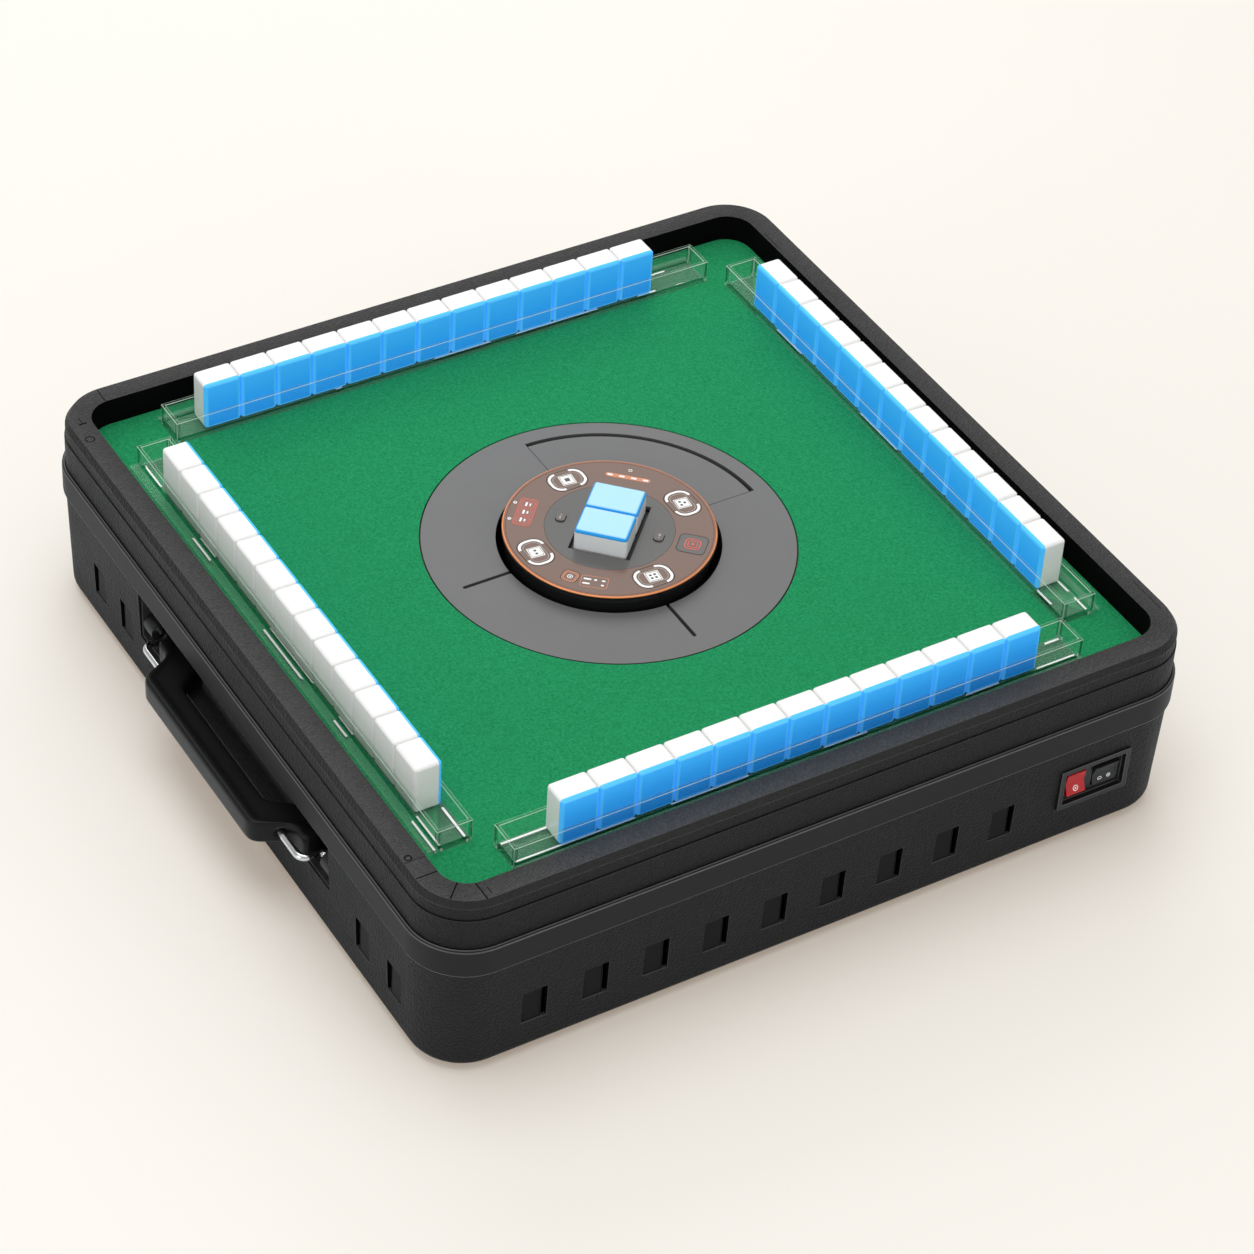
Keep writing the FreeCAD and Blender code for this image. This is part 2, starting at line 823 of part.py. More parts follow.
def side_louvres():
    """Two louvres beyond each end of the handle's recess, and the same on the right side."""
    louvres = []
    near = recess_end + S.side_vent_start
    for side, slit_end in ((-90, -1), (90, 1)):
        for end in (-1, 1):
            for centre in (near, near + S.side_vent_spacing):
                louvres.append(vent_tools(side, centre * end - S.side_vent_shift * slit_end, slit_end))
    return louvres


def wall_opening(x, side, width, height):
    """The way through the front or back wall for a flanged fitting, and the flat seat round it."""
    z = switch_level
    gap = S.panel_gap * 2
    lip = S.bezel_overlap * 2
    way = centred_box(
        x, shell_half * side, z - (height - lip + gap) / 2,
        width - lip + gap, S.bezel_depth * 2, height - lip + gap,
    )
    seat_y = seat_half if side > 0 else -(seat_half + S.overrun * 2)
    seat = centred_block(x, z, width + gap, height + gap, seat_y, S.overrun * 2)
    return [way, seat]


def make_case_screws():
    """Four long screws driven up through the shell's bosses into the top frame's posts."""
    screws = []
    seat = frame_bottom - S.screw_grip
    for x, y in corner_places(S.boss_inset):
        screws.append(cylinder(S.screw_radius, seat, S.screw_grip + screw_bite, x, y))
        head_bottom = seat - S.screw_head_height
        screws.append(cylinder(S.screw_head_radius, head_bottom, S.screw_head_height, x, y))
    node("case_screws", fuse(*screws))


def make_feet():
    """Four rubber feet, each pressed into the floor by its stem."""
    feet = []
    for x, y in corner_places(S.foot_inset):
        feet.append(cylinder(S.foot_radius, ZERO, S.foot_height, x, y))
        feet.append(cylinder(S.foot_stem_radius, S.foot_height, S.moulding_wall * 2, x, y))
    node("rubber_feet", fuse(*feet))


def make_playing_top():
    """The board that rests on the frame's ledge, and the felt glued over it."""
    half = inner_half - S.board_clearance
    board = new_body()
    outline = sketch_on(board, "XY_Plane", board_bottom)
    draw_rounded_rectangle(outline, half, half, corner_of(half))
    draw_circle(outline, ring_radius - S.ring_flange_width + S.ring_gap)
    pad(board, outline, S.board_thickness)
    node("table_board", board)
    felt = new_body()
    outline = sketch_on(felt, "XY_Plane", board_top)
    draw_rounded_rectangle(outline, half, half, corner_of(half))
    draw_circle(outline, ring_radius + S.ring_gap)
    pad(felt, outline, S.felt_thickness)
    node("felt", felt)


def make_centre_ring():
    """The grey ring let into the felt, with the feed hatch's opening and two open slots."""
    body_radius = ring_radius - S.ring_flange_width
    flange_bottom = felt_top - S.ring_flange_thickness
    ring_bottom = felt_top - S.ring_thickness
    ring = turned_piece(
        [
            (ring_hole_radius, ring_bottom),
            (body_radius, ring_bottom),
            (body_radius, flange_bottom),
            (ring_radius, flange_bottom),
            (ring_radius, felt_top),
            (ring_hole_radius, felt_top),
        ]
    )
    slot_edge = hatch_radius + S.finger_slot_width
    tools = [cylinder(slot_edge, ring_bottom - S.overrun, S.overrun * 3, sweep=90)]
    half_slot = S.ring_slot_width / 2
    run = ring_slot_reach - half_slot
    deep = ring_bottom - S.overrun
    slot_length = ring_slot_reach - S.console_radius
    through = S.overrun * 3
    tools.append(box(-run, -half_slot, deep, slot_length, S.ring_slot_width, through))
    tools.append(cylinder(half_slot, deep, through, -run))
    tools.append(box(-half_slot, -run, deep, S.ring_slot_width, slot_length, through))
    tools.append(cylinder(half_slot, deep, through, ZERO, -run))
    ledge_bottom = ring_bottom - S.hatch_ledge_thickness
    ledge_start = ring_hole_radius + S.overrun / 2
    ledge_run = body_radius - S.ring_gap - ledge_start
    ledge = S.hatch_ledge
    thickness = S.hatch_ledge_thickness
    ledges = [
        box(ledge_start, -ledge, ledge_bottom, ledge_run, ledge * 2, thickness),
        box(-ledge, ledge_start, ledge_bottom, ledge * 2, ledge_run, thickness),
    ]
    node("centre_ring", fuse(cut(ring, *tools), *ledges))
    hatch_space = box(
        S.ring_gap, S.ring_gap, ring_bottom, ring_radius, ring_radius, S.ring_thickness
    )
    annulus = cut(
        cylinder(hatch_radius, ring_bottom, S.ring_thickness),
        cylinder(ring_hole_radius, ring_bottom - S.overrun, S.overrun * 3),
    )
    node("feed_hatch", common(annulus, hatch_space))


def window_tool(z, height):
    """The tile window, which lies across the console on its diagonal."""
    return about_axis(centred_box(ZERO, ZERO, z, window_length, window_width, height), LIFT_TURN)


def key_places():
    """The keys on the brown panel: name, turn about Z, half sizes, corner radius and orbit."""
    half_length = S.key_length / 2
    half_width = key_band / 2 - S.key_margin
    corner = half_width * (KEY_CORNER_SHARE * 2)
    keys = []
    for label, angle in (("front", -90), ("right", 0), ("back", 90), ("left", 180)):
        keys.append(("key_" + label, angle, half_width, half_length, corner, key_orbit))
    half_start = key_band / 2 - S.start_key_margin
    corner = half_start * (START_KEY_CORNER_SHARE * 2)
    keys.append(("start_key", START_KEY_ANGLE, half_start, half_start, corner, key_orbit))
    half_dice = S.dice_key_side / 2
    corner = half_dice * (DICE_KEY_CORNER_SHARE * 2)
    dice_orbit = key_orbit + S.dice_key_shift
    keys.append(("dice_key", DICE_KEY_ANGLE, half_dice, half_dice, corner, dice_orbit))
    return keys


def key_plate(half_x, half_y, corner, orbit, z, thickness, angle):
    body = new_body()
    outline = sketch_on(body, "XY_Plane", z)
    draw_rounded_rectangle(outline, half_x, half_y, corner, orbit)
    pad(body, outline, thickness)
    return turn(body, angle)


def make_console():
    """The round console: housing, copper trim, brown panel with keys and grey inner panel."""
    housing_bottom = felt_top - S.console_drop
    housing = turned_piece(
        [
            (ZERO, deck_bottom),
            (S.console_radius - S.console_wall, deck_bottom),
            (S.console_radius - S.console_wall, housing_bottom),
            (S.console_radius, housing_bottom),
            (S.console_radius, deck_top),
            (ZERO, deck_top),
        ]
    )
    node("console_housing", cut(housing, window_tool(deck_bottom - S.overrun, S.overrun * 3)))
    bevel = S.trim_width * TRIM_BEVEL_SHARE
    trim = turned_piece(
        [
            (trim_inner, deck_top),
            (trim_radius, deck_top),
            (trim_radius, console_top - bevel),
            (trim_radius - bevel, console_top),
            (trim_inner, console_top),
        ]
    )
    node("console_trim", trim)
    panel = turned_piece(
        [
            (S.inner_panel_radius + S.panel_gap, deck_top),
            (trim_inner - S.panel_gap, deck_top),
            (trim_inner - S.panel_gap, console_top),
            (S.inner_panel_radius + S.panel_gap, console_top),
        ]
    )
    openings = []
    key_bottom = console_top - S.key_thickness
    for label, angle, half_x, half_y, corner, orbit in key_places():
        gap = S.key_gap
        openings.append(
            key_plate(
                half_x + gap, half_y + gap, corner + gap, orbit,
                deck_top - S.overrun, S.panel_thickness + S.overrun * 2, angle,
            )
        )
        node(label, key_plate(half_x, half_y, corner, orbit, key_bottom, S.key_thickness, angle))
    node("console_panel", cut(panel, *openings))


def make_inner_panel():
    """The dark disc round the tile window, with a raised oval button at each end."""
    disc = cylinder(S.inner_panel_radius, deck_top, S.panel_thickness)
    tools = [window_tool(deck_top - S.overrun, S.overrun * 3)]
    half_length = S.side_button_length / 2
    half_width = S.side_button_width / 2
    orbit = (window_length / 2 + S.inner_panel_radius) / 2 + S.side_button_shift
    height = S.key_thickness + S.side_button_proud
    for label, angle in (("button_left", 180 + LIFT_TURN), ("button_right", LIFT_TURN)):
        tools.append(
            key_plate(
                half_width + S.key_gap, half_length + S.key_gap, half_width - S.key_gap, orbit,
                deck_top - S.overrun, S.overrun * 3, angle,
            )
        )
        button = key_plate(
            half_width, half_length, half_width - S.key_gap * 2, orbit,
            console_top - S.key_thickness, height, angle,
        )
        node(label, button)
    node("inner_panel", cut(disc, *tools))


def make_column():
    """The fixed column: it carries the console, guides the lift and is the drum's axle."""
    height = deck_bottom - floor_top
    outside = fuse(
        cylinder(column_radius, floor_top, height),
        cylinder(column_radius + S.bearing_wall, floor_top, bearing_bottom() - floor_top),
        cylinder(S.column_flange_radius, floor_top, S.column_flange_thickness),
    )
    chamber_top = deck_bottom - S.moulding_wall
    tools = [
        centred_box(
            ZERO, ZERO, floor_top - S.overrun, window_length, window_width, height + S.overrun * 2
        ),
        box(
            ZERO, -S.chamber_width / 2, floor_top - S.overrun,
            chamber_reach, S.chamber_width, chamber_top - floor_top + S.overrun,
        ),
        cylinder(
            S.lift_screw_radius + S.running_clearance, floor_top, height + S.overrun, lift_screw_orbit
        ),
        centred_box(
            ZERO, -column_radius, gate_bottom(), S.gate_width, column_radius, S.gate_height
        ),
    ]
    node("centre_column", turn(cut(outside, *tools), LIFT_TURN))


def gate_bottom():
    return S.drum_floor_height + S.platform_gap * 2


def make_lift():
    """The platform that raises two tiles, its nut, the lifting screw and the small motor."""
    platform_top = console_top - S.tile_sink
    plate_bottom = platform_top - S.platform_thickness
    length = window_length - S.platform_gap * 2
    width = window_width - S.platform_gap * 2
    nut_bottom = plate_bottom - S.nut_drop - S.nut_height
    arm_start = length / 2 - S.platform_thickness
    plate = centred_box(ZERO, ZERO, plate_bottom, length, width, S.platform_thickness)
    hanger = box(
        arm_start, -S.nut_width / 2, nut_bottom,
        S.platform_thickness, S.nut_width, plate_bottom - nut_bottom,
    )
    nut = box(
        arm_start, -S.nut_width / 2, nut_bottom,
        chamber_reach - S.nut_end_gap - arm_start, S.nut_width, S.nut_height,
    )
    bore = cylinder(
        S.lift_screw_radius + S.running_clearance, nut_bottom - S.overrun, S.nut_height + S.overrun * 2,
        lift_screw_orbit,
    )
    node("lift_platform", turn(cut(fuse(plate, hanger, nut), bore), LIFT_TURN))
    motor_top = floor_top + S.lift_motor_height
    screw = cylinder(
        S.lift_screw_radius, motor_top, deck_bottom - motor_top - S.running_clearance, lift_screw_orbit
    )
    node("lift_screw", about_axis(screw, LIFT_TURN))
    motor = centred_box(
        lift_screw_orbit, ZERO, floor_top, S.lift_motor_side, S.lift_motor_side, S.lift_motor_height
    )
    node("lift_motor", about_axis(motor, LIFT_TURN))


def bearing_bottom():
    """The shoulder of the column that the drum's bearing stands on."""
    return S.drum_floor_height - S.hub_height - S.bearing_flange_thickness


def make_drum_bearing():
    """The flanged bush on the column that the drum turns on."""
    flange_top = bearing_bottom() + S.bearing_flange_thickness
    bore = column_radius + S.running_clearance
    bush_radius = column_radius + S.bearing_wall
    bush = turned_piece(
        [
            (bore, bearing_bottom()),
            (bush_radius + S.bearing_flange, bearing_bottom()),
            (bush_radius + S.bearing_flange, flange_top),
            (bush_radius, flange_top),
            (bush_radius, S.drum_floor_height),
            (bore, S.drum_floor_height),
        ]
    )
    node("drum_bearing", bush)


def make_drum():
    """The mixing drum: a dished floor, an upright wall, a hub and four vanes."""
    hub_bore = column_radius + S.bearing_wall + S.running_clearance
    hub_radius = hub_bore + S.hub_wall
    floor = S.drum_floor_height
    edge_floor = floor + S.drum_floor_rise
    inner = S.drum_radius - S.drum_wall
    top = board_bottom - S.drum_headroom
    drum = turned_piece(
        [
            (hub_bore, floor - S.hub_height),
            (hub_radius, floor - S.hub_height),
            (hub_radius, floor - S.drum_wall),
            (S.drum_radius - S.drum_rise_run, floor - S.drum_wall),
            (S.drum_radius, edge_floor),
            (S.drum_radius, top - S.drum_wall),
            (S.drum_radius + S.drum_lip, top - S.drum_wall),
            (S.drum_radius + S.drum_lip, top),
            (inner, top),
            (inner, edge_floor + S.drum_wall),
            (S.drum_radius - S.drum_rise_run, floor),
            (hub_bore, floor),
        ]
    )
    vanes = []
    for quarter in range(4):
        vane = box(
            S.vane_start, -S.vane_thickness / 2, floor - S.drum_wall / 2,
            S.vane_end - S.vane_start, S.vane_thickness, S.vane_height + S.drum_wall / 2,
        )
        vanes.append(about_axis(vane, 90 * quarter))
    node("mixing_drum", fuse(drum, *vanes))


def gear_shape(teeth, bottom, width, hole_radius, phase):
    """A spur gear with straight-flanked teeth, drawn tooth by tooth round its pitch circle."""
    module = float(S.gear_module)
    pitch_radius = module * teeth / 2
    tip = pitch_radius + module
    root = pitch_radius - module * ROOT_DEPTH_SHARE
    step = 2 * math.pi / teeth
    backlash = float(S.gear_backlash) / pitch_radius
    flank_shares = ((root, ROOT_WIDTH_SHARE), (tip, TIP_WIDTH_SHARE))
    points = []
    for tooth in range(teeth):
        middle = step * tooth + phase
        half_widths = [(radius, step * share - backlash / 2) for radius, share in flank_shares]
        for radius, half in half_widths:
            points.append(polar(radius, middle - half, bottom))
        for radius, half in reversed(half_widths):
            points.append(polar(radius, middle + half, bottom))
    outline = Part.Face(Part.makePolygon(points + points[:1]))
    blank = outline.extrude(Vector(0, 0, width))
    overrun = float(S.overrun)
    hole = Part.makeCylinder(hole_radius, width + overrun * 2, Vector(0, 0, bottom - overrun))
    return blank.cut(hole)


def polar(radius, angle, z):
    return Vector(radius * math.cos(angle), radius * math.sin(angle), z)


def make_gears():
    """The ring gear under the drum and the pinion that drives it."""
    drum_underside = float(S.drum_floor_height - S.drum_wall)
    width = float(S.gear_width)
    bottom = drum_underside - width
    root_radius = float(S.gear_module) * (GEAR_TEETH / 2 - ROOT_DEPTH_SHARE)
    ring = doc.addObject("Part::Feature", "RingGear")
    ring.Shape = gear_shape(GEAR_TEETH, bottom, width, root_radius - float(S.gear_rim), 0)
    node("drum_gear", ring)
    half_tooth = math.pi / PINION_TEETH
    facing = math.radians(MOTOR_ANGLE) + math.pi
    pinion = doc.addObject("Part::Feature", "Pinion")
    ring_phase_at_mesh = math.radians(MOTOR_ANGLE) * GEAR_TEETH / PINION_TEETH
    pinion.Shape = gear_shape(
        PINION_TEETH, bottom, width, float(S.motor_shaft_radius), facing + half_tooth - ring_phase_at_mesh
    )
    x, y = motor_place()
    pinion.Placement = Placement(Vector(float(x), float(y), 0), Rotation())
    node("drum_pinion", pinion)


def motor_place():
    """The drum motor stands where its pinion meets the ring gear."""
    distance = S.gear_module * ((GEAR_TEETH + PINION_TEETH) / 2)
    angle = math.radians(MOTOR_ANGLE)
    return distance * math.cos(angle), distance * math.sin(angle)


def make_drum_motor():
    """A flat gear motor on a square plate, with the shaft that carries the pinion."""
    x, y = motor_place()
    plate_top = floor_top + S.moulding_wall
    gear_bottom = S.drum_floor_height - S.drum_wall - S.gear_width
    shaft_bottom = gear_bottom - S.motor_gap
    node("drum_motor", fuse(
        centred_box(x, y, floor_top, S.motor_plate_side, S.motor_plate_side, S.moulding_wall),
        cylinder(S.motor_radius, plate_top, shaft_bottom - plate_top, x, y),
    ))
    shaft_top = S.drum_floor_height - S.drum_wall * 2
    node("motor_shaft", cylinder(S.motor_shaft_radius, shaft_bottom, shaft_top - shaft_bottom, x, y))


def tile_layer(across_start, thickness, turned, shift, base):
    """A row of thirteen tile layers standing upright, made as one pattern."""
    body = new_body()
    body.AllowCompound = True
    outline = sketch_on(body, "XZ_Plane", -across_start)
    half = S.tile_width / 2
    chamfer = S.tile_chamfer
    first = shift - tile_pitch * ((TILE_COUNT - 1) / 2)
    left = first - half
    right = first + half
    top = base + S.tile_height
    draw_polygon(
        outline,
        [
            (left + chamfer, base),
            (right - chamfer, base),
            (right, base + chamfer),
            (right, top - chamfer),
            (right - chamfer, top),
            (left + chamfer, top),
            (left, top - chamfer),
            (left, base + chamfer),
        ],
    )
    block = pad(body, outline, thickness)
    block.Reversed = True
    pattern = body.newObject("PartDesign::LinearPattern", "Row")
    pattern.Originals = [block]
    pattern.Direction = (outline, ["H_Axis"])
    pattern.Mode = "Spacing"
    bind(pattern, Offset=tile_pitch)
    pattern.Occurrences = TILE_COUNT
    body.Tip = pattern
    return turn(body, turned)


def make_racks_and_tiles():
    """Four clear racks on the felt, each with a row of thirteen tiles standing in it.

    Each side is drawn as the back side and turned; the front row shows its blue backs
    outwards, and the others show them to the middle of the table.
    """
    sides = (
        ("back", 0, -S.back_row_shift, 1),
        ("left", 90, ZERO, 1),
        ("front", 180, ZERO, -1),
        ("right", 270, ZERO, 1),
    )
    white = S.tile_thickness - S.tile_back_thickness
    base = felt_top + S.rack_floor
    for label, angle, shift, facing in sides:
        inner_face = tile_orbit - S.tile_thickness / 2
        outer_face = tile_orbit + S.tile_thickness / 2
        if facing > 0:
            back_start, white_start = inner_face, inner_face + S.tile_back_thickness
        else:
            back_start, white_start = outer_face - S.tile_back_thickness, inner_face
        node("tiles_%s_bodies" % label, tile_layer(white_start, white, angle, shift, base))
        node("tiles_%s_backs" % label, tile_layer(back_start, S.tile_back_thickness, angle, shift, base))
        node("rack_%s" % label, rack(angle))


def rack(angle):
    """One clear rack: a foot plate, a trough with two side walls and two end walls."""
    trough_half = S.tile_thickness / 2 + S.rack_gap
    outer_half = trough_half + S.rack_wall
    foot = centred_box(
        ZERO, tile_orbit + S.rack_foot_reach / 2, felt_top,
        rack_length, outer_half * 2 + S.rack_foot_reach, S.rack_floor,
    )
    block = centred_box(ZERO, tile_orbit, felt_top, rack_length, outer_half * 2, S.rack_height)
    trough = centred_box(
        ZERO, tile_orbit, felt_top + S.rack_floor,
        rack_length - S.rack_wall * 2, trough_half * 2, S.rack_height,
    )
    return turn(cut(fuse(foot, block), trough), angle)


def make_centre_tiles():
    """Two tiles lying blue side up on the lift platform."""
    layers = {"bodies": [], "backs": []}
    bottom = console_top - S.tile_sink
    white = S.tile_thickness - S.tile_back_thickness
    for side in (-1, 1):
        y = tile_pitch / 2 * side
        layers["bodies"].append(lying_tile_layer(y, bottom, white))
        layers["backs"].append(lying_tile_layer(y, bottom + white, S.tile_back_thickness))
    for label, pieces in layers.items():
        node("centre_tile_%s" % label, turn(fuse(*pieces), LIFT_TURN))


def lying_tile_layer(y, z, thickness):
    body = new_body()
    outline = sketch_on(body, "XY_Plane", z)
    half_length = S.tile_height / 2
    half_width = S.tile_width / 2
    chamfer = S.tile_chamfer
    draw_polygon(
        outline,
        [
            (chamfer - half_length, y - half_width),
            (half_length - chamfer, y - half_width),
            (half_length, y - half_width + chamfer),
            (half_length, y + half_width - chamfer),
            (half_length - chamfer, y + half_width),
            (chamfer - half_length, y + half_width),
            (-half_length, y + half_width - chamfer),
            (-half_length, y - half_width + chamfer),
        ],
    )
    pad(body, outline, thickness)
    return body


def make_switch_panel():
    """The sunk bezel on the front wall, the two rockers and the switch bodies behind them."""
    outer_face = -(shell_half + S.bezel_lip)
    floor_face = outer_face + S.bezel_depth / 2
    back = outer_face + S.bezel_depth
    centre_z = switch_level
    centre_x = panel_x
    flange_thickness = S.bezel_lip + shell_half - seat_half
    flange = centred_block(centre_x, centre_z, panel_width, panel_height, outer_face, flange_thickness)
    lip = S.bezel_overlap * 2
    tray = centred_block(
        centre_x, centre_z, panel_width - lip, panel_height - lip, outer_face, S.bezel_depth
    )
    border = S.bezel_border * 2
    well = centred_block(
        centre_x, centre_z, panel_width - border, panel_height - border,
        outer_face - S.overrun, S.overrun + S.bezel_depth / 2,
    )
    tools = [well]
    left = centre_x - panel_width / 2 + S.rocker_margin
    right = centre_x + panel_width / 2 - S.rocker_margin
    pivot = floor_face + S.rocker_gap * 2
    for label, x, width, tilt in (
        ("power", left + S.power_rocker_width / 2, S.power_rocker_width, -ROCKER_TILT),
        ("mode", right - S.mode_rocker_width / 2, S.mode_rocker_width, ROCKER_TILT),
    ):
        gap = S.rocker_gap * 2
        hole = centred_block(
            x, centre_z, width + gap, (S.rocker_radius + S.rocker_gap) * 2, floor_face, S.bezel_depth
        )
        tools.append(hole)
        node("%s_rocker" % label, rocker(x, pivot, centre_z, width, tilt))
        node("%s_switch_body" % label, switch_body(x, pivot, centre_z, width, back))
    node("switch_bezel", cut(fuse(flange, tray), *tools))


def centred_block(x, z, width, height, y, depth):
    """A box centred on x and z that runs back from y."""
    return box(x - as_size(width) / 2, y, z - as_size(height) / 2, width, depth, height)


def rocker(x, y, z, width, tilt):
    """A rocker: a drum round its own pivot whose front is cut to two slopes that meet in a dip."""
    reach = S.rocker_radius + S.overrun
    drum = lying_cylinder(S.rocker_radius, width, -width / 2, ZERO, ZERO, "x")
    front = new_body()
    outline = sketch_on(front, "YZ_Plane", -width / 2 - S.overrun)
    draw_polygon(
        outline,
        [
            (-S.rocker_dip, ZERO),
            (-S.rocker_rise, S.rocker_radius),
            (-S.rocker_rise, reach),
            (-reach, reach),
            (-reach, -reach),
            (-S.rocker_rise, -reach),
            (-S.rocker_rise, -S.rocker_radius),
        ],
    )
    pad(front, outline, width + S.overrun * 2)
    rear = box(-width / 2 - S.overrun, S.rocker_rise, -reach, width + S.overrun * 2, reach, reach * 2)
    return turn(place(cut(drum, front, rear), x, y, z), tilt, Vector(1, 0, 0))


def switch_body(x, y, z, width, back):
    """The switch behind a rocker: a block with a hollow that the rocker's rear turns in."""
    height = (S.rocker_radius + S.rocker_gap) * 2
    block = centred_block(x, z, width + S.rocker_gap * 2, height, back, S.switch_body_depth)
    hollow = lying_cylinder(
        S.rocker_radius + S.rocker_gap, width * 2, x - width, y, z, "x"
    )
    return cut(block, hollow)


def make_inlet():
    """The power inlet on the back wall: a flanged socket with a recess for the plug."""
    face = shell_half + S.bezel_lip
    centre_z = switch_level
    lip = S.bezel_overlap * 2
    wall = S.inlet_wall * 2
    flange = centred_block(
        inlet_x, centre_z, S.inlet_width, S.inlet_height, seat_half, face - seat_half
    )
    socket_width = S.inlet_width - lip
    socket_height = S.inlet_height - lip
    socket = centred_block(
        inlet_x, centre_z, socket_width, socket_height, face - S.inlet_depth, S.inlet_depth
    )
    mouth = centred_block(
        inlet_x, centre_z, socket_width - wall, socket_height - wall,
        face - S.inlet_depth + S.inlet_wall, S.inlet_depth,
    )
    node("power_inlet", cut(fuse(flange, socket), mouth))


def make_electrics():
    """The control board and the power supply, each standing on four posts of the floor."""
    level = floor_top + S.standoff_height
    x, y = circuit_place()
    board = centred_box(x, y, level, S.circuit_length, S.circuit_width, S.circuit_thickness)
    top = level + S.circuit_thickness
    parts = [board, centred_box(x, y, top, S.chip_side, S.chip_side, S.chip_height)]
    side = S.connector_height
    for end in (-1, 1):
        connector_y = y + (S.circuit_width / 2 - side) * end
        parts.append(centred_box(x, connector_y, top, S.connector_length, side, side))
    node("control_board", fuse(*parts))
    x, y = supply_place()
    case = centred_box(x, y, level, S.supply_length, S.supply_width, S.supply_height)
    node("power_supply", case)


def make_handle_recess():
    """The tray behind the handle, with the raised panel that fingers rest against."""
    mouth = -(shell_half - S.shell_draft)
    bottom = recess_bottom
    outside = box(mouth, -recess_end, bottom, S.recess_depth, S.recess_length, recess_height)
    wall = S.recess_wall
    inside = box(
        mouth - S.overrun, wall - recess_end, bottom + wall,
        S.overrun + S.recess_depth - wall, S.recess_length - wall * 2, recess_height - wall * 2,
    )
    panel = new_body()
    pad_end = recess_end - S.finger_pad_end
    outline = sketch_on(panel, "XZ_Plane", -pad_end)
    front = mouth + S.finger_pad_depth
    back = mouth + S.recess_depth
    draw_polygon(
        outline,
        [
            (front, bottom),
            (back, bottom),
            (back, shell_top),
            (front + S.finger_pad_slope, shell_top),
            (front, shell_top - S.finger_pad_slope * 2),
        ],
    )
    pad(panel, outline, pad_end * 2)
    node("handle_recess", fuse(cut(outside, inside), panel))


def make_handle_grip():
    """The moulded grip: an outer bead sweeps in an S at each end to a lug in the recess."""
    lug_outer = handle_x - S.lug_reach
    lug_inner = handle_x + S.lug_behind
    grip_outer = handle_x - S.grip_reach
    grip_inner = grip_outer + S.grip_width
    shoulder = handle_end - S.lug_length
    knee = shoulder - S.grip_slope
    inner_knee = handle_end - S.grip_inner_inset
    half_outline = [
        (lug_inner, handle_end),
        (lug_outer, handle_end),
        (lug_outer, shoulder),
        (grip_outer, knee),
    ]
    inner_half_outline = [(grip_inner, inner_knee), (lug_inner, inner_knee + S.grip_slope)]
    body = new_body()
    bottom = handle_z - S.grip_thickness / 2
    outline = sketch_on(body, "XY_Plane", bottom)
    draw_polygon(outline, both_ends(half_outline, inner_half_outline))
    pad(body, outline, S.grip_thickness)
    lug_level = float(shoulder) + float(S.lug_length) / 2
    round_edges(body, "Fillet", S.lug_round, lambda edge: is_upright(edge) and is_beyond(edge, lug_level))
    round_edges(body, "Fillet", S.grip_bend, lambda edge: is_sharp_upright(edge, lug_level))
    bead = S.bead_width
    web_outline = both_ends(
        [
            (lug_inner + S.overrun, handle_end - bead),
            (lug_outer + bead, handle_end - bead),
            (lug_outer + bead, shoulder + bead * WEB_SHOULDER_SHARE),
            (grip_outer + bead, knee - bead * WEB_KNEE_SHARE),
        ],
        [(lug_inner + S.overrun, ZERO)],
    )
    web_tools = []
    for level in (handle_z + S.grip_thickness / 2 - S.bead_height, bottom - S.overrun):
        tool = new_body()
        outline = sketch_on(tool, "XY_Plane", level)
        draw_polygon(outline, web_outline)
        pad(tool, outline, S.overrun + S.bead_height)
        round_edges(
            tool, "Fillet", S.web_round, lambda edge: is_upright(edge) and is_left_of(edge, handle_x)
        )
        web_tools.append(tool)
    run_x = handle_x - S.wire_reach
    socket_floor = shoulder - S.wire_socket
    socket = lying_cylinder(
        S.socket_radius, S.wire_socket + S.overrun * 2, run_x, socket_floor, handle_z, "y"
    )
    wire_hole = lying_cylinder(
        S.wire_radius + S.running_clearance, S.wire_grip + S.overrun,
        run_x, socket_floor - S.wire_grip, handle_z, "y",
    )
    holes = fuse(socket, wire_hole)
    node("handle_grip", cut(body, *web_tools, holes, mirrored(holes)))


def both_ends(outer_points, inner_points):
    """A closed outline from its back half: outer points, then their mirror, then the inner ones."""
    mirror_outer = [(x, -y) for x, y in reversed(outer_points)]
    mirror_inner = [(x, -y) for x, y in reversed(inner_points) if y.value]
    return outer_points + mirror_outer + mirror_inner + list(inner_points)


def is_upright(edge):
    return edge.BoundBox.XLength < TOUCH and edge.BoundBox.YLength < TOUCH


def is_beyond(edge, level):
    return abs(edge.BoundBox.YMin) > level


def is_left_of(edge, x):
    return edge.BoundBox.XMax < float(x)


def is_sharp_upright(edge, level):
    """An upright edge of the grip's own bends, away from the lugs that are already rounded."""
    return is_upright(edge) and not is_beyond(edge, level)


